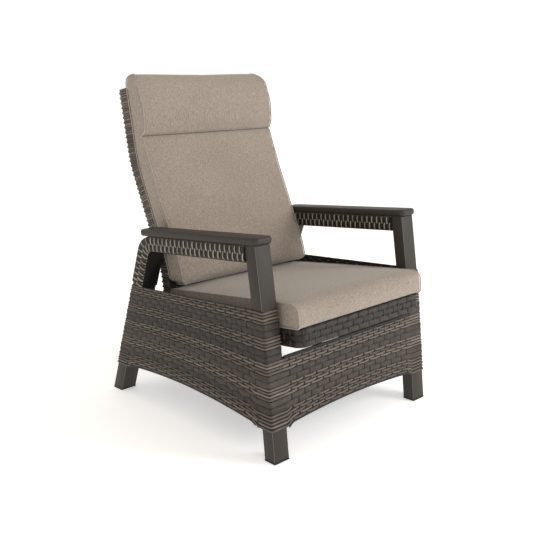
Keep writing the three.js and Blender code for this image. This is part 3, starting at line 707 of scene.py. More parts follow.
def side_row(fraction):
    """Points, normals, stake count and swing of one row round the right-hand side."""
    z_rear = corner_height(SIDE_TOP_REAR, REAR_BOTTOM, fraction)
    z_front = corner_height(WEAVE_TOP, WEAVE_BOTTOM, fraction)
    rear = leg_rear(z_rear)
    front = post_front(z_front)
    parts = []

    def add(x, y, z, normal, stake, swing):
        size = max(np.size(x), np.size(y), np.size(z), len(np.atleast_2d(normal)))
        columns = [np.broadcast_to(v, size) for v in (x, y, z)]
        points = np.stack(columns, 1)
        parts.append((points, np.broadcast_to(normal, (size, 3)), np.broadcast_to(stake, size),
                      np.broadcast_to(swing, size)))

    def add_corner(x, y, z, first, last, stake):
        points, out = corner_arc(x, y, first, last)
        add(points[:, 0], points[:, 1], z, out, stake, POST_SWING)

    post_steps = round((HALF_WIDTH - INNER_X) / STEP)
    wrap_steps = round(POST_DEPTH / STEP)
    rear_normal = unit(np.array([0, 1, REAR_LEAN]))
    front_normal = unit(np.array([0, -1, FRONT_LEAN]))
    if z_rear > APRON_TOP:
        inner_run = face_run(rear - LEG_DEPTH + CORNER, rear - CORNER, wrap_steps)
        add(INNER_X, inner_run, z_rear, (-1, 0, 0), -3, 0)
        add_corner(INNER_X + CORNER, rear - CORNER, z_rear, 180, 90, -2)
    rear_run = face_run(INNER_X + CORNER, HALF_WIDTH - CORNER, post_steps)
    if z_rear <= APRON_TOP:
        rear_run = face_run(INNER_X, HALF_WIDTH - CORNER, post_steps)
    add(rear_run, rear, z_rear, rear_normal, np.linspace(-2, 0, len(rear_run)), POST_SWING)
    add_corner(HALF_WIDTH - CORNER, rear - CORNER, z_rear, 90, 0, 0)
    t = face_run(0.99, 0.01, round(SIDE_RUN / STEP))
    z = side_height(t, fraction)
    y = post_front(z) + (leg_rear(z) - post_front(z)) * t
    on_panel = smooth((t - 0.03) / 0.05) * smooth((0.97 - t) / 0.05)
    side_swing = POST_SWING + (1 - POST_SWING) * on_panel
    add(HALF_WIDTH, y, z, (1, 0, 0), SIDE_STAKES * (1 - t), side_swing)
    add_corner(HALF_WIDTH - CORNER, front + CORNER, z_front, 0, -90, SIDE_STAKES)
    last = INNER_X if z_front <= APRON_TOP else INNER_X + CORNER
    front_run = face_run(HALF_WIDTH - CORNER, last, post_steps)
    add(front_run, front, z_front, front_normal,
        SIDE_STAKES + np.linspace(0, 2, len(front_run)), POST_SWING)
    if z_front > APRON_TOP:
        add_corner(INNER_X + CORNER, front + CORNER, z_front, -90, -180, SIDE_STAKES + 2)
        add(INNER_X, face_run(front + CORNER, front + POST_DEPTH, wrap_steps), z_front, (-1, 0, 0),
            SIDE_STAKES + 3, 0)
    return [np.concatenate([part[i] for part in parts]) for i in range(4)]


def without_repeats(points, *rest):
    """Drops points that lie on the one before."""
    step = np.linalg.norm(np.diff(points, axis=0), axis=1)
    keep = np.concatenate([[True], step > 0.0005])
    return [points[keep], *(array[keep] for array in rest)]


def swung(points, normals, stakes, swing, parity, depth):
    """Lifts a row off the frame and swings it in and out past each stake."""
    wave = np.cos(math.pi * (stakes + parity)) * SWING * swing
    return points + normals * (depth + wave)[:, None]


def lining(points, normals, spacing, fraction, depth=LINING_DEPTH, overlap=LINING_OVERLAP):
    """The flat strand that lies under a row and closes the gaps beside it; it is near-black,
    painted shade for those gaps. It is wider under the low rows, which part where they drop to the
    foot, and its ends overlap the lining of the next panel."""
    low_row = 0.75 < fraction < 0.96
    width = np.broadcast_to(spacing, len(points)) * (1.6 if low_row else 1.15)
    points, normals, width = without_repeats(points, normals, width)
    keep = np.unique(np.append(np.arange(0, len(points), 2), len(points) - 1))
    path = points[keep] + normals[keep] * depth
    path[0] -= overlap * unit(path[1] - path[0])
    path[-1] += overlap * unit(path[-1] - path[-2])
    return lay_strand(path, normals[keep], width[keep], LINING_THICK, 0.5, FLAT), painted_shade_wicker


# Stakes take the near-black finish, painted shade behind the rows.
def stake_strip(points, normals, width=0.0075):
    return lay_strand(points, normals, width, STAKE_THICK, rng.random(), FLAT), painted_shade_stake_wicker


HEM_DROP = 0.002


def woven_side(name, sign, node):
    mirror = np.array([sign, 1, 1])
    strands = []
    for parity, (kind, fraction, share) in enumerate(row_fractions(PATTERN)):
        points, normals, stakes, swing = without_repeats(*side_row(fraction))
        z = points[:, 2]
        reach = (points[:, 1] - post_front(z)) / (leg_rear(z) - post_front(z))
        height = side_top(reach) - side_arch(reach)
        path = swung(points, normals, stakes, swing * ROW_SWING[kind], parity, OFFSET)
        thick = ROW_THICK[kind]
        strands.append((
            lay_strand(path * mirror, normals * mirror, height * share * ROW_FILL[kind], thick,
                       row_tone(), ROW_SHAPE[kind]),
            ROW_FINISH[kind]))
        strands.append(lining(points * mirror, normals * mirror, height * share, fraction))
    for stake in range(2, SIDE_STAKES - 1):
        t = 1 - stake / SIDE_STAKES
        z = face_run(float(side_bottom(t)), float(side_top(t)), 14)
        y = post_front(z) + (leg_rear(z) - post_front(z)) * t
        points = np.stack([np.full(len(z), HALF_WIDTH + OFFSET), y, z], 1)
        normals = np.broadcast_to((1.0, 0, 0), points.shape)
        strands.append(stake_strip(points * mirror, normals * mirror))
    # The hem is a near-black strand below the lowest row: painted shade along the lower edge.
    t = face_run(0.905, 0.085, 110)
    hem_z = side_bottom(t) - HEM_DROP
    hem_y = post_front(hem_z) + (leg_rear(hem_z) - post_front(hem_z)) * t
    hem = np.stack([np.full(len(t), HALF_WIDTH + HEM_DROP), hem_y, hem_z], 1)
    hem_out = np.broadcast_to((1.0, 0, 0), hem.shape)
    strands.append((lay_strand(hem * mirror, hem_out * mirror, 0.008, 0.004, 0.1), painted_shade_wicker))
    weave(name, strands, "base", node)


woven_side("wicker_side_left", -1, "side_weave_left")
woven_side("wicker_side_right", 1, "side_weave_right")

# %% [markdown]
# The front and rear panels continue the rows of the sides. Their lower edge rises in a flat
# arch, the upper edge stays level, and the rows between share out the difference.


# %% Front and rear panels
def apron(name, face, normal, top, low, first_stake, node):
    strands = []
    x = face_run(-INNER_X, INNER_X, round(2 * INNER_X / STEP))
    out = np.broadcast_to(unit(np.array(normal)), (len(x), 3))
    stakes = first_stake + APRON_STAKES * (x + INNER_X) / (2 * INNER_X)
    swing = POST_SWING + (1 - POST_SWING) * smooth((INNER_X - np.abs(x)) / 0.02)
    for parity, (kind, fraction, share) in enumerate(row_fractions(PATTERN)):
        if corner_height(top, low, fraction) > APRON_TOP:
            continue
        arched = top + (low + FOOT_STEP - top) * fraction
        climb = 1 - max(0, arched - low - FOOT_STEP) / (APRON_TOP - low - FOOT_STEP)
        z = arched + apron_arch(x) * climb - apron_step(x) * fraction ** STEP_SHARE
        points = np.stack([x, face(z), z], 1)
        path = swung(points, out, stakes, swing * ROW_SWING[kind], parity, OFFSET)
        spacing = share * (top - low - FOOT_STEP) * (1 - apron_arch(x) / (APRON_TOP - low))
        thick = ROW_THICK[kind]
        strands.append((
            lay_strand(path, out, spacing * ROW_FILL[kind], thick, row_tone(), ROW_SHAPE[kind]),
            ROW_FINISH[kind]))
        strands.append(lining(points, out, spacing, fraction))
    for stake in range(1, APRON_STAKES):
        at = -INNER_X + 2 * INNER_X * stake / APRON_STAKES
        z = face_run(low + FOOT_STEP + float(apron_arch(at)), APRON_TOP, 10)
        points = np.stack([np.full(len(z), at), face(z), z], 1)
        outward = np.broadcast_to(out[0], points.shape)
        strands.append(stake_strip(points + outward * OFFSET, outward))
    # The two hems are near-black strands at the lower and upper edges: painted shade.
    for height, climb, width in ((low - HEM_DROP, 1.0, 0.007), (APRON_TOP + 0.003, 0.0, 0.009)):
        z = height + (FOOT_STEP + apron_arch(x) - apron_step(x)) * climb
        points = (np.stack([x, face(z), z], 1) + out * 0.0025)[1:-1]
        strands.append((lay_strand(points, out[1:-1], width, 0.005, 0.1), painted_shade_wicker))
    weave(name, strands, "base", node)


apron("wicker_front", post_front, (0, -1, FRONT_LEAN), WEAVE_TOP, WEAVE_BOTTOM,
      SIDE_STAKES + 2, "front_weave")
apron("wicker_rear", leg_rear, (0, 1, REAR_LEAN), SIDE_TOP_REAR, REAR_BOTTOM,
      -2, "rear_weave")

# %% [markdown]
# ## Arm rails
# The tube under each armrest is bound with upright loops. Every second loop stands proud in the
# upper half and dips in the lower half, and the ones between do the opposite. Two flat runners on
# each face pass under them lengthwise, nearly black as painted shade in the gaps. The same binding
# fans round the rear bend and goes down the upright.

# %% Line of the arm tube
ARM_HEIGHT = 0.610
ARM_SLOPE = 0.0925
RAIL_HALF = 0.0235
UPRIGHT_HALF = 0.0276
BEND_RADIUS = 0.045
LEG_TOP = 0.400


def arm_line():
    """Points up the rear leg, round the bend and forward to the front post, with the direction
    out of the bend and half the rail's height at each point, all in the side plane."""
    up = unit(np.array([-REAR_LEAN, 1]))
    ahead = unit(np.array([-1, ARM_SLOPE]))
    leg_middle = REAR_Y - LEG_DEPTH / 2
    arm_front = float(post_front(ARM_HEIGHT))
    rail_middle = ARM_HEIGHT + ARM_SLOPE * arm_front - RAIL_HALF - 0.0003
    corner_z = (rail_middle - ARM_SLOPE * leg_middle) / (1 - ARM_SLOPE * REAR_LEAN)
    corner = np.array([leg_middle - REAR_LEAN * corner_z, corner_z])
    turn = math.acos(float(up @ ahead))
    reach = BEND_RADIUS * math.tan(turn / 2)
    centre = corner - up * reach + np.array([-up[1], up[0]]) * BEND_RADIUS
    foot = corner + up * (LEG_TOP - corner[1]) / up[1]
    bend_start = corner - up * reach
    bend_end = corner + ahead * reach
    stop_y = float(post_front(bend_end[1])) + POST_DEPTH
    stop = bend_end + ahead * (bend_end[0] - stop_y) * 0.985
    upright = np.linspace(foot, bend_start, 30)[:-1]
    angles = np.linspace(0, turn, 16)
    radial = -np.array([-up[1], up[0]])
    spokes = np.stack([radial[0] * np.cos(angles) - radial[1] * np.sin(angles),
                       radial[0] * np.sin(angles) + radial[1] * np.cos(angles)], 1)
    bend = centre + spokes * BEND_RADIUS
    rail = np.linspace(bend_end, stop, 70)[1:]
    points = np.vstack([upright, bend, rail])
    out = np.vstack([np.tile(spokes[0], (len(upright), 1)), spokes,
                     np.tile(spokes[-1], (len(rail), 1))])
    blend = np.concatenate([np.zeros(len(upright)), np.linspace(0, 1, len(bend)),
                            np.ones(len(rail))])
    half = UPRIGHT_HALF + (RAIL_HALF - UPRIGHT_HALF) * blend
    return points, out, half


def along_line(points, *values):
    """The line's length so far, for reading points and values off it at any distance."""
    steps = np.linalg.norm(np.diff(points, axis=0), axis=1)
    distance = np.concatenate([[0], np.cumsum(steps)])

    def read(s, value):
        if value.ndim == 1:
            return np.interp(s, distance, value)
        return np.stack([np.interp(s, distance, column) for column in value.T], -1)

    def at(s):
        return [read(s, value) for value in (points, *values)]

    return at, distance[-1]


arm_at, arm_length = along_line(*arm_line())
print("arm line", round(float(arm_length), 3), "m")

# %% Bind the arm rails
LOOP_PITCH = 0.0102
LOOP_WIDTH = 0.0050
LOOP_THICK = 0.0030
LOOP_SWING = 0.0020
RUNNER_THICK = 0.0012
RUNNER_RINGS = 110
LOOP_CORNER = 0.006
RAIL_OUT = HALF_WIDTH + 0.0030
RAIL_IN = INNER_X - 0.0030


def loop_outline(half):
    """A rounded rectangle round the rail: x across the chair and v up the rail, with outward
    directions, and v as a share of half."""
    corners = ((RAIL_OUT, half, 0), (RAIL_IN, half, 90),
               (RAIL_IN, -half, 180), (RAIL_OUT, -half, 270))
    x = []
    v = []
    out = []
    for cx, cv, first in corners:
        inner_x = cx - math.copysign(LOOP_CORNER, cx - (RAIL_OUT + RAIL_IN) / 2)
        inner_v = cv - math.copysign(LOOP_CORNER, cv)
        for angle in np.radians(np.linspace(first, first + 90, 4)):
            x.append(inner_x + LOOP_CORNER * math.cos(angle))
            v.append(inner_v + LOOP_CORNER * math.sin(angle))
            out.append((math.cos(angle), math.sin(angle)))
        if first in (90, 270):
            face = -1 if first == 90 else 1
            span = face * (half - LOOP_CORNER)
            run = np.linspace(-span, span, 8)[1:-1]
            x.extend([cx] * len(run))
            v.extend(run)
            out.extend([(face, 0)] * len(run))
    return np.array(x), np.array(v), np.array(out)


def bound_arm(name, sign, node):
    mirror = np.array([sign, 1, 1])
    strands = []

    def add(points, normals, *finish, closed=False):
        *shape, material = finish
        strand = lay_strand(points * mirror, normals * mirror, *shape, closed=closed)
        strands.append((strand, material))

    count = int(arm_length / LOOP_PITCH)
    for number in range(count):
        centre, out, half = arm_at((number + 0.5) * arm_length / count)
        x, v, outward = loop_outline(float(half) - LOOP_THICK / 2)
        side_face = np.abs(outward[:, 0])
        swing = np.sin(math.pi * v / half) * (1 if number % 2 else -1)
        wave = np.sign(swing) * np.sqrt(np.abs(swing)) * LOOP_SWING * side_face
        along_v = centre + out * v[:, None]
        points = np.column_stack([x + outward[:, 0] * wave, along_v])
        normals = np.column_stack([outward[:, 0], out * outward[:, 1:]])
        add(points, normals, LOOP_WIDTH, LOOP_THICK, row_tone(), loop_wicker, closed=True)
    centre, out, half = arm_at(np.linspace(0, arm_length, RUNNER_RINGS))

    def runner(x, lift):
        return np.column_stack([np.full(RUNNER_RINGS, x), centre + out * lift[:, None]])

    # The runners are near-black: painted shade in the gaps between the loops.
    for x, face in ((RAIL_OUT, 1), (RAIL_IN, -1)):
        for level in (-0.45, 0.45):
            points = runner(x, level * half)
            normals = np.broadcast_to((float(face), 0, 0), points.shape)
            add(points, normals, half * 0.88, RUNNER_THICK, rng.random(), FLAT, painted_shade_wicker)
    # A near-black strip under the rail: painted shade on its underside.
    points = runner((RAIL_OUT + RAIL_IN) / 2, -half - 0.0004)
    normals = np.column_stack([np.zeros(RUNNER_RINGS), -out])
    add(points, normals, RAIL_OUT - RAIL_IN - 0.004, STAKE_THICK, 0.5, FLAT, painted_shade_stake_wicker)
    weave(name, strands, "base", node)


bound_arm("arm_binding_left", -1, "arm_weave_left")
bound_arm("arm_binding_right", 1, "arm_weave_right")

# %% [markdown]
# ## Woven back
# The back is a shallow tray. Its rows start at the front edge of one side, turn the corner,
# cross the rear and come forward again on the other side. They follow the bent side rails, so
# each row lies square to the line of the back. The lining behind them needs few rings, because
# it runs straight across the rear.

# %% Line of the back
back_low, back_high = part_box("back_weave")
BACK_HALF = back_high.x
BACK_DEPTH = 0.045
BACK_INSET = 0.0027
BACK_BEND = 0.045
BACK_CORNERS = ((0.595, 0.375), (0.610, 0.455), (0.755, 0.770), (0.811, 1.060))
BACK_DROP = 0.026


def back_line():
    """The rear face of the back in the side plane: straight runs joined by smooth bends."""
    corners = np.array(BACK_CORNERS) + (FRONT_Y, 0)
    line = [corners[0]]
    for before, corner, after in zip(corners, corners[1:], corners[2:]):
        start = corner + unit(before - corner) * BACK_BEND
        end = corner + unit(after - corner) * BACK_BEND
        for share in np.linspace(0, 1, 9):
            rest = 1 - share
            line.append(rest ** 2 * start + 2 * share * rest * corner + share ** 2 * end)
    line.append(corners[-1])
    return np.array(line)


BACK_LINE = back_line()


def back_y(z):
    """Rear face of the back at a height."""
    return np.interp(z, BACK_LINE[:, 1], BACK_LINE[:, 0])


woven = BACK_LINE[(BACK_LINE[:, 1] > back_low.z) & (BACK_LINE[:, 1] < back_high.z)]
ends = [[float(back_y(z)), z] for z in (back_low.z - BACK_DROP, back_high.z)]
back_run = np.vstack([ends[0], woven, ends[1]])
back_at, back_length = along_line(back_run)
print("back is", round(float(back_length), 3), "m of weave")

# %% Weave the back
BACK_ROW = 0.0078
BACK_THICK = 0.0027
TOP_ROWS = 5
LINING_SKIP = 8
BACK_STAKES = 22
EDGE_STAKES = 2
BACK_CORNER = 0.006


def back_frame(s):
    """Point and rearward direction on the back's line at a distance from its lower end."""
    point, = back_at(s)
    before, = back_at(max(0, s - 0.01))
    after, = back_at(min(back_length, s + 0.01))
    direction = unit(after - before)
    return point, np.array([direction[1], -direction[0]])


def back_plan():
    """Across the chair and forward from the rear face, with outward directions and stakes."""
    inner = BACK_HALF - BACK_CORNER
    depth = face_run(BACK_DEPTH - 0.002, BACK_CORNER, 7)
    angle = np.radians(np.linspace(0, 90, 5))[1:-1]
    half_x = [np.full(len(depth), BACK_HALF), inner + BACK_CORNER * np.cos(angle)]
    half_y = [depth, BACK_CORNER - BACK_CORNER * np.sin(angle)]
    half_out = [np.tile((1.0, 0.0), (len(depth), 1)), np.stack([np.cos(angle), np.sin(angle)], 1)]
    half_stake = [np.linspace(-EDGE_STAKES, 0, len(depth)), np.zeros(3)]
    x = np.concatenate(half_x)
    y = np.concatenate(half_y)
    out = np.concatenate(half_out)
    stake = np.concatenate(half_stake)
    rear = face_run(inner, -inner, round(2 * inner / STEP))
    rear_stake = np.linspace(0, BACK_STAKES, len(rear))
    return (np.concatenate([x, rear, -x[::-1]]),
            np.concatenate([y, np.zeros(len(rear)), y[::-1]]),
            np.concatenate([out, np.tile((0.0, 1.0), (len(rear), 1)), out[::-1] * (-1, 1)]),
            np.concatenate([stake, rear_stake, BACK_STAKES - stake[::-1]]))


def on_back(point, rearward, x, forward, out):
    """Points and normals in space from the back's own plan."""
    places = [x, point[0] - rearward[0] * forward, point[1] - rearward[1] * forward]
    normals = [out[..., 0], rearward[0] * out[..., 1], rearward[1] * out[..., 1]]
    return np.stack(places, -1), np.stack(normals, -1)


def woven_back():
    strands = []
    x, forward, out, stakes = back_plan()
    rows = round(float(back_length) / BACK_ROW)
    pitch = float(back_length) / rows
    sparse = (forward > 0) | (np.arange(len(x)) % LINING_SKIP == 0)
    for row in range(rows):
        point, rearward = back_frame((row + 0.5) * pitch)
        places, normals = on_back(point, rearward, x, forward, out)
        swing = np.where(forward > BACK_CORNER, 0.25, 0.8)
        path = swung(places, normals, stakes, swing, row, -BACK_INSET)
        strand = lay_strand(path, normals, pitch * 0.84, BACK_THICK, rng.random())
        strands.append((strand, round_wicker))
        # The lining behind each row is near-black: painted shade.
        strands.append(lining(places[sparse], normals[sparse], pitch, 0,
                              -BACK_INSET - STAKE_THICK, overlap=0))
    heights = np.linspace(0.002, float(back_length) - 0.002, 60)
    frames = [back_frame(s) for s in heights]
    point = np.array([f[0] for f in frames])
    rearward = np.array([f[1] for f in frames])

    def upright(across, forward_by, outward):
        out = np.tile(outward, (60, 1))
        places, normals = on_back(point.T, rearward.T, np.full(60, across), forward_by, out)
        strands.append(stake_strip(places - normals * BACK_INSET, normals))

    inner = BACK_HALF - BACK_CORNER
    for stake in range(1, BACK_STAKES):
        upright(inner - 2 * inner * stake / BACK_STAKES, 0.0, (0.0, 1.0))
    for side in (-1, 1):
        upright(side * BACK_HALF, BACK_DEPTH / 2, (float(side), 0.0))
    top_point, top_rear = back_frame(float(back_length))
    across = face_run(-inner, inner, round(2 * inner / 0.009))
    up = np.array([-top_rear[1], top_rear[0]])
    for row in range(TOP_ROWS):
        forward_by = (row + 0.5) * BACK_DEPTH / TOP_ROWS
        place = top_point - top_rear * forward_by
        wave = np.cos(math.pi * (across / (2 * inner) * BACK_STAKES + row)) * 0.0012
        points = np.column_stack([across, place + up * (wave - 0.003)[:, None]])
        normals = np.broadcast_to((0, *up), points.shape)
        strand = lay_strand(points, normals, ROUND_WIDTH, BACK_THICK, rng.random())
        strands.append((strand, round_wicker))
    weave("woven_back", strands, "back", "back_weave")


woven_back()

# %% [markdown]
# ## Woven seat frame
# The seat frame wears a skirt of three wide flat strands with rounded front corners, and its
# top is closed by more of them under the cushion. It lies in its own sloping plane, so each
# point is laid out flat and then put on the slope.

# %% Seat plane
SEAT_SLOPE = 0.117
SEAT_TILT = math.atan(SEAT_SLOPE)
SEAT_ORIGIN = (FRONT_Y - 0.018, 0.381)
SEAT_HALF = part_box("seat_weave")[1].x
SEAT_LENGTH = 0.578 / math.cos(SEAT_TILT)
SEAT_CORNER = 0.030
SKIRT = 0.0545
SKIRT_ROWS = 3
SKIRT_STAKE = 0.0235
SKIRT_INSET = 0.0027
SEAT_THICK = 0.0020


def on_seat(x, y, z):
    """A point of the seat's own plane in space: y runs back along the seat, z stands on it."""
    along = SEAT_ORIGIN[0] + np.cos(SEAT_TILT) * y + np.sin(SEAT_TILT) * z
    up = SEAT_ORIGIN[1] - np.sin(SEAT_TILT) * y + np.cos(SEAT_TILT) * z
    return np.stack(np.broadcast_arrays(x, along, up), -1)


def seat_turn(directions):
    x, y, z = np.moveaxis(np.asarray(directions, float), -1, 0)
    return np.stack([x, np.cos(SEAT_TILT) * y + np.sin(SEAT_TILT) * z,
                     np.cos(SEAT_TILT) * z - np.sin(SEAT_TILT) * y], -1)


def skirt_plan():
    """The skirt's line from one rear end round the front to the other."""
    inner = SEAT_HALF - SEAT_CORNER
    side = face_run(SEAT_LENGTH, SEAT_CORNER, round((SEAT_LENGTH - SEAT_CORNER) / STEP))
    angle = np.radians(np.linspace(0, 90, 10))[1:-1]
    front = face_run(inner, -inner, round(2 * inner / STEP))
    x = np.concatenate([np.full(len(side), SEAT_HALF), inner + SEAT_CORNER * np.cos(angle)])
    y = np.concatenate([side, SEAT_CORNER - SEAT_CORNER * np.sin(angle)])
    out = np.concatenate([np.tile((1.0, 0.0), (len(side), 1)),
                          np.stack([np.cos(angle), -np.sin(angle)], 1)])
    plan = np.concatenate([np.stack([x, y], 1), np.stack([front, np.zeros(len(front))], 1),
                           np.stack([-x[::-1], y[::-1]], 1)])
    outward = np.concatenate([out, np.tile((0.0, -1.0), (len(front), 1)), out[::-1] * (-1, 1)])
    return plan, outward


def woven_seat():
    strands = []

    def add(points, normals, width, thick):
        strands.append((lay_strand(points, normals, width, thick, rng.random(), FLAT), flat_wicker))

    plan, outward = skirt_plan()
    skirt_at, length = along_line(plan, outward)
    count = round(float(length) / SKIRT_STAKE)
    distance = np.concatenate([[0], np.cumsum(np.linalg.norm(np.diff(plan, axis=0), axis=1))])
    normals = seat_turn(np.column_stack([outward, np.zeros(len(outward))]))
    pitch = SKIRT / SKIRT_ROWS
    for row in range(SKIRT_ROWS):
        points = on_seat(plan[:, 0], plan[:, 1], -(row + 0.5) * pitch)
        swing = np.full(len(plan), 0.9)
        path = swung(points, normals, distance / length * count, swing, row, -SKIRT_INSET)
        add(path, normals, pitch * 0.88, 0.0022)
    for stake in range(1, count):
        place, out = skirt_at(stake / count * length)
        z = face_run(-SKIRT + 0.004, -0.001, 6)
        points = on_seat(np.full(6, place[0]), np.full(6, place[1]), z)
        turned = seat_turn(np.tile((out[0], out[1], 0.0), (6, 1)))
        add(points - turned * SKIRT_INSET, turned, 0.006, SEAT_THICK)
    # A near-black sheet behind the skirt: painted shade inside the weave.
    inside = on_seat(plan[:, 0], plan[:, 1], -SKIRT / 2) - normals * (SKIRT_INSET + SEAT_THICK)
    strands.append((lay_strand(inside, normals, SKIRT, LINING_THICK, 0.5, FLAT), painted_shade_wicker))
    rows = round(SEAT_LENGTH / FLAT_WIDTH)
    for row in range(rows):
        y = (row + 0.5) * SEAT_LENGTH / rows
        reach = SEAT_HALF - 0.004
        if y < SEAT_CORNER:
            reach += math.sqrt(SEAT_CORNER ** 2 - (SEAT_CORNER - y) ** 2) - SEAT_CORNER
        x = face_run(-reach, reach, 60)
        wave = np.cos(math.pi * (x / 0.026 + row)) * 0.0008
        points = on_seat(x, np.full(60, y), wave - 0.0022)
        normals_up = seat_turn(np.tile((0.0, 0.0, 1.0), (60, 1)))
        add(points, normals_up, FLAT_WIDTH * 0.98, SEAT_THICK)
    weave("woven_seat_frame", strands, "seat", "seat_weave")


woven_seat()

# %% [markdown]
# ## Posts, legs and armrests
# Real square tube has soft corners, and a light edge runs down each post where they catch the
# light. So the posts and legs are made again as filled outlines, extruded across and bevelled,
# and the bevels take a lighter colour, a painted highlight. The armrests are rounded boards with a
# bullnose all round.


# %% Blocks from an outline
def rounded_outline(corners):
    """An outline from (a, b, radius) corners: a sharp corner has radius 0."""
    points = []
    count = len(corners)
    for index, (a, b, radius) in enumerate(corners):
        here = np.array((a, b), float)
        if radius == 0:
            points.append(tuple(here))
            continue
        back = unit(np.array(corners[index - 1][:2]) - here)
        ahead = unit(np.array(corners[(index + 1) % count][:2]) - here)
        half_angle = math.acos(float(np.clip(back @ ahead, -1, 1))) / 2
        reach = radius / math.tan(half_angle)
        centre = here + unit(back + ahead) * radius / math.sin(half_angle)
        first = here + back * reach - centre
        last = here + ahead * reach - centre
        for share in np.linspace(0, 1, 7):
            direction = unit(first * (1 - share) + last * share)
            points.append(tuple(centre + direction * radius))
    return points


def block(name, outline, low, high):
    """A filled outline in the ground plane, extruded upwards from low to high."""
    deselect()
    bpy.ops.mesh.primitive_circle_add(vertices=len(outline), fill_type="NGON", radius=1)
    body = bpy.context.object
    body.name = name
    for vertex, (a, b) in zip(body.data.vertices, outline):
        vertex.co = (a, b, low)
    bpy.ops.object.mode_set(mode="EDIT")
    bpy.ops.mesh.select_all(action="SELECT")
    bpy.ops.mesh.extrude_region_move(TRANSFORM_OT_translate={"value": (0, 0, high - low)})
    bpy.ops.mesh.select_all(action="SELECT")
    bpy.ops.mesh.normals_make_consistent(inside=False)
    bpy.ops.object.mode_set(mode="OBJECT")
    return body


def soften(body, width, segments):
    bevel = body.modifiers.new("soft edges", "BEVEL")
    bevel.width = width
    bevel.segments = segments
    bevel.limit_method = "ANGLE"
    bevel.angle_limit = math.radians(40)
    bpy.context.view_layer.objects.active = body
    bpy.ops.object.modifier_apply(modifier=bevel.name)
    body.select_set(True)
    bpy.ops.object.shade_smooth_by_angle(angle=math.radians(35))


def place_vertices(body, move):
    """Puts every vertex where move says. move takes and gives an array of points."""
    co = np.empty(len(body.data.vertices) * 3, np.float32)
    body.data.vertices.foreach_get("co", co)
    body.data.vertices.foreach_set("co", move(co.reshape(-1, 3)).astype(np.float32).ravel())
    body.data.update()


def from_side(co):
    """(along, up, across) of a side outline to (x, y, z)."""
    return co[:, [2, 0, 1]]


EDGE_SOFT = 0.0028
FOOT_GAP = 0.0043


def lighten_edges(body):
    """Gives the bevelled long edges a lighter colour, a painted highlight."""
    body.data.materials.append(edge_highlight_aluminium)
    for face in body.data.polygons:
        if 0.35 < abs(face.normal.x) < 0.94:
            face.material_index = 1


def square_tube(name, outline, sign, node):
    low = min(sign * INNER_X, sign * HALF_WIDTH)
    body = block(name, outline, low, low + HALF_WIDTH - INNER_X)
    soften(body, EDGE_SOFT, 3)
    place_vertices(body, from_side)
    body.data.materials.append(coated_aluminium)
    lighten_edges(body)
    finish_piece(body, "coated_aluminium", "base", node)


def post_outline():
    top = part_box("front_post_left")[1].z
    heights = (FOOT_GAP, WEAVE_TOP, top)
    front = [(float(post_front(z)), z) for z in heights]
    top_drop = POST_DEPTH * ARM_SLOPE * 1.1
    rear = [(float(post_front(z)) + POST_DEPTH, z - (top_drop if z == top else 0))
            for z in heights]
    return front + rear[::-1]


def leg_outline():
    front = [(float(leg_rear(z)) - LEG_DEPTH, z) for z in (FOOT_GAP, LEG_TOP)]
    rear = [(float(leg_rear(z)), z) for z in (LEG_TOP, FOOT_GAP)]
    return front + rear


for side, sign in (("left", -1), ("right", 1)):
    square_tube(f"front_post_soft_{side}", post_outline(), sign, f"front_post_{side}")
    square_tube(f"rear_leg_soft_{side}", leg_outline(), sign, f"rear_leg_{side}")
print("posts and legs softened by", EDGE_SOFT)

# %% Armrests
ARMREST_HALF = 0.03575
ARMREST_THICK = 0.021
ARMREST_FRONT = 0.069
ARMREST_REAR = 0.607


def armrest(name, sign, node):
    length = (ARMREST_REAR - ARMREST_FRONT) * math.hypot(1, ARM_SLOPE)
    corners = ((-ARMREST_HALF, 0, 0.017), (ARMREST_HALF, 0, 0.017),
               (ARMREST_HALF, length, 0.024), (-ARMREST_HALF, length, 0.024))
    body = block(name, rounded_outline(corners), 0, ARMREST_THICK)
    soften(body, 0.0075, 5)
    tilt = math.atan(ARM_SLOPE)
    start_y = FRONT_Y + ARMREST_FRONT
    start_z = ARM_HEIGHT - ARM_SLOPE * (start_y - float(post_front(ARM_HEIGHT))) + 0.0003
    middle = sign * (HALF_WIDTH + INNER_X) / 2

    def lie(co):
        along = start_y + co[:, 1] * math.cos(tilt) + co[:, 2] * math.sin(tilt)
        up = start_z - co[:, 1] * math.sin(tilt) + co[:, 2] * math.cos(tilt)
        return np.stack([co[:, 0] + middle, along, up], 1)

    place_vertices(body, lie)
    body.data.materials.append(coated_aluminium)
    finish_piece(body, "coated_aluminium", "base", node)


armrest("armrest_board_left", -1, "armrest_left")
armrest("armrest_board_right", 1, "armrest_right")
print("armrests", ARMREST_HALF * 2, "wide")

# %% [markdown]
# ## Cushions
# Each cushion is a foam block in a sewn cover. The block starts as its side outline, extruded
# across and remeshed into even cells. Then a cloth simulation blows it up from inside while its
# seams are held, which gives the crowned panels and the crisp sewn edges of a box cushion. It is
# stuffed lying straight, and laid on the sloping seat or bent to the back afterwards. Piping, a
# little lighter than the cover as a painted highlight, follows the side seams, and a dark cord lies
# in the crease below the headrest as painted shade.

# %% Stuffing
VOXEL = 0.006
SIM_FRAMES = 20
FLAT_REACH = 0.012


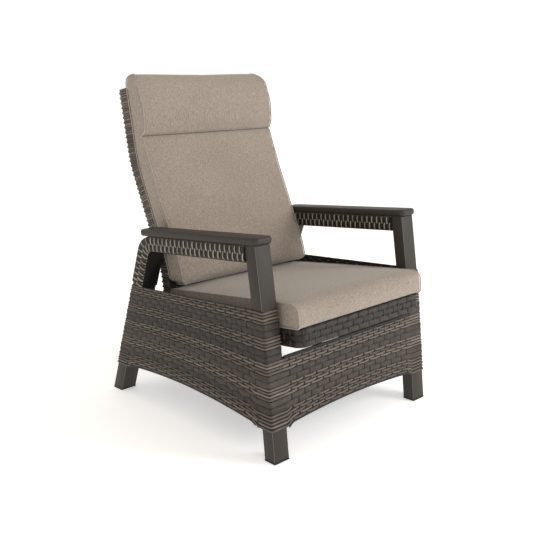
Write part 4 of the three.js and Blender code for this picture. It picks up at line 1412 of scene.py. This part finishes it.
def stuffed(name, outline, half_width, seam_distance, base, cap):
    """A block from a side outline, blown up while the vertices near its seams are held.
    seam_distance gives each point's distance from a seam. The face at base stays flat, and no
    point moves farther than cap."""
    body = block(name, outline, -half_width, half_width)
    body.data.remesh_voxel_size = VOXEL
    body.select_set(True)
    bpy.context.view_layer.objects.active = body
    bpy.ops.object.voxel_remesh()
    count = len(body.data.vertices)
    start = np.empty(count * 3, np.float32)
    body.data.vertices.foreach_get("co", start)
    start = start.reshape(-1, 3)
    held = np.nonzero(seam_distance(start) < VOXEL)[0]
    seams = body.vertex_groups.new(name="seams")
    seams.add(held.tolist(), 1.0, "REPLACE")
    cloth = body.modifiers.new("stuffing", "CLOTH")
    cloth.settings.use_pressure = True
    cloth.settings.uniform_pressure_force = 4
    cloth.settings.effector_weights.gravity = 0
    cloth.settings.vertex_group_mass = seams.name
    for number in range(1, SIM_FRAMES + 1):
        bpy.context.scene.frame_set(number)
    shaped = body.evaluated_get(bpy.context.evaluated_depsgraph_get())
    blown = np.empty(count * 3, np.float32)
    shaped.data.vertices.foreach_get("co", blown)
    move = blown.reshape(-1, 3) - start
    body.modifiers.remove(cloth)
    bpy.context.scene.frame_set(1)
    body.vertex_groups.clear()
    far = np.linalg.norm(move, axis=1, keepdims=True)
    print(name, "swelled up to", round(float(far.max()), 4), "m, held", len(held))
    move = move * (cap * np.tanh(far / cap) / np.maximum(far, 1e-9))
    free = smooth((start[:, 1] - base) / FLAT_REACH)
    start = start + move * free[:, None]
    body.data.vertices.foreach_set("co", start.astype(np.float32).ravel())
    return body


def fine_cover(body):
    smooth_cover = body.modifiers.new("fine cover", "SUBSURF")
    smooth_cover.levels = 1
    smooth_cover.render_levels = 1
    deselect()
    body.select_set(True)
    bpy.context.view_layer.objects.active = body
    bpy.ops.object.modifier_apply(modifier=smooth_cover.name)
    bpy.ops.object.shade_smooth()
    body.data.materials.append(cushion_fabric)


def distance_to_outline(points, outline):
    """Distance in the side plane from each point to a closed outline."""
    ends = np.array(outline)
    nearest = np.full(len(points), 1.0)
    for a, b in zip(ends, np.roll(ends, -1, 0)):
        run = b - a
        share = np.clip(((points - a) @ run) / max(float(run @ run), 1e-12), 0, 1)
        gap = points - (a + share[:, None] * run)
        nearest = np.minimum(nearest, np.linalg.norm(gap, axis=1))
    return nearest


CUSHION_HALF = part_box("seat_cushion")[1].x
SEAM_RADIUS = 0.0018
SEAM_PROUD = 0.0015


def seam_line(outline, across, count):
    """Evenly spaced points once round an outline, at a place across the cushion."""
    flat = np.column_stack([outline, np.full(len(outline), across)])
    line_at, length = along_line(np.vstack([flat, flat[:1]]))
    points, = line_at(np.linspace(0, length, count))
    return points


def seam_cord(name, loops, body_name):
    """Piping along the seams, or a dark cord of painted shade in a crease: loops are (points,
    normals, material).
    """
    width = 2 * SEAM_RADIUS
    strands = [(lay_strand(points, normals, width, width, 0.5), material)
               for points, normals, material in loops]
    cord = join_strands(name, strands)
    bpy.ops.object.shade_smooth()
    finish_piece(cord, "cushion_fabric", body_name)


print("cushions are", 2 * CUSHION_HALF, "wide")

# %% Seat cushion
SEAT_CUSHION_START = -0.0045
SEAT_CUSHION_LENGTH = 0.572
SEAT_CUSHION_THICK = 0.072
CUSHION_REST = 0.0015
SIDE_SWELL = 0.004


def seat_cushion():
    top = CUSHION_REST + SEAT_CUSHION_THICK - 0.002
    corners = ((0.002, CUSHION_REST, 0.010), (SEAT_CUSHION_LENGTH, CUSHION_REST, 0.014),
               (SEAT_CUSHION_LENGTH, top, 0.014), (0.002, top, 0.026))
    outline = rounded_outline(corners)
    half = CUSHION_HALF - SIDE_SWELL

    def seam_distance(points):
        edge = distance_to_outline(points[:, :2], outline)
        return np.hypot(edge, half - np.abs(points[:, 2]))

    body = stuffed("seat_cushion_cover", outline, half, seam_distance, CUSHION_REST, 0.008)
    fine_cover(body)

    def lie(co):
        return on_seat(co[:, 2], co[:, 0] + SEAT_CUSHION_START, co[:, 1])

    place_vertices(body, lie)
    middle = np.mean(outline, 0)
    loops = []
    for side in (-1, 1):
        dense = seam_line(outline, side * (half + SEAM_PROUD), 170)
        outward = unit(dense[:, :2] - middle)
        normals = seat_turn(np.column_stack([np.full(len(dense), float(side)), outward]))
        # The lighter piping paints a highlight along the edges.
        loops.append((lie(dense), unit(normals), piping_painted_highlight))
    seam_cord("seat_cushion_seams", loops, "seat")
    finish_piece(body, "cushion_fabric", "seat", "seat_cushion")
    print("seat cushion", len(body.data.polygons), "faces")


seat_cushion()

# %% Back cushion
CUSHION_BACK = BACK_DEPTH + CUSHION_REST
BACK_CUSHION_THICK = 0.074
BACK_CUSHION_BOTTOM = 0.407
BACK_CUSHION_TOP = 1.052
HEADREST_SEAM = 0.862
HEADREST_MIDDLE = 0.955
ROLL_BULGE = 0.008
SEAM_DEPTH = 0.017
SEAM_SPREAD = 0.030
CREASE_REACH = 0.014
CREASE_DEPTH = 0.007
CORNER_ROUND = 0.035


def narrowing(height):
    """How far the sides come in near the rounded top and bottom corners."""
    near = np.minimum(2 * (height - BACK_CUSHION_BOTTOM), BACK_CUSHION_TOP - height)
    short = np.clip(1 - near / CORNER_ROUND, 0, 1)
    return CORNER_ROUND * (1 - np.sqrt(1 - np.minimum(short, 0.98) ** 2)) * 0.8


def back_cushion():
    front = CUSHION_BACK + BACK_CUSHION_THICK - 0.004
    outline = rounded_outline((
        (BACK_CUSHION_BOTTOM - 0.010, CUSHION_BACK, 0.014), (BACK_CUSHION_BOTTOM, front, 0.020),
        (HEADREST_SEAM - 3 * SEAM_SPREAD, front, 0.12), (HEADREST_SEAM, front - SEAM_DEPTH, 0),
        (HEADREST_SEAM + SEAM_SPREAD, front, 0.030), (HEADREST_MIDDLE, front + ROLL_BULGE, 0.12),
        (BACK_CUSHION_TOP, front - 1.5 * ROLL_BULGE, 0.050),
        (BACK_CUSHION_TOP, CUSHION_BACK, 0.014)))
    half = CUSHION_HALF - SIDE_SWELL

    def seam_distance(points):
        edge = distance_to_outline(points[:, :2], outline)
        side = np.hypot(edge, half - np.abs(points[:, 2]))
        groove = np.hypot(points[:, 0] - HEADREST_SEAM, points[:, 1] - (front - SEAM_DEPTH))
        return np.minimum(side, groove)

    body = stuffed("back_cushion_cover", outline, half, seam_distance, CUSHION_BACK, 0.010)
    fine_cover(body)

    def crease(co):
        """Draws the cover tight along the headrest seam, so that it closes to a sharp line."""
        off = co[:, 0] - HEADREST_SEAM
        near = np.clip(1 - np.abs(off) / CREASE_REACH, 0, 1) * (co[:, 1] > front - 2 * SEAM_DEPTH)
        height = HEADREST_SEAM + off * (1 - 0.6 * near)
        return np.column_stack([height, co[:, 1] - CREASE_DEPTH * near ** 2, co[:, 2]])

    def lie(co):
        x = co[:, 2] * (1 - narrowing(co[:, 0]) / half)
        return np.stack([x, back_y(co[:, 0]) - co[:, 1], co[:, 0]], 1)

    place_vertices(body, crease)
    place_vertices(body, lie)
    loops = []
    for side in (-1, 1):
        dense = seam_line(outline, side * (half + SEAM_PROUD), 200)
        normals = np.tile((float(side), 0.0, 0.0), (len(dense), 1))
        # The lighter piping paints a highlight along the edges.
        loops.append((lie(crease(dense)), normals, piping_painted_highlight))
    # A dark cord along the valley: painted shade of the crease.
    across = face_run(-half, half, 80)
    valley = np.tile((HEADREST_SEAM, front - SEAM_DEPTH - CREASE_DEPTH + SEAM_RADIUS, 0), (80, 1))
    valley[:, 2] = across
    loops.append((lie(valley), np.tile((0.0, -1.0, 0.0), (80, 1)), painted_crease_shade))
    seam_cord("back_cushion_seams", loops, "back")
    finish_piece(body, "cushion_fabric", "back", "back_cushion")
    print("back cushion", len(body.data.polygons), "faces")


back_cushion()
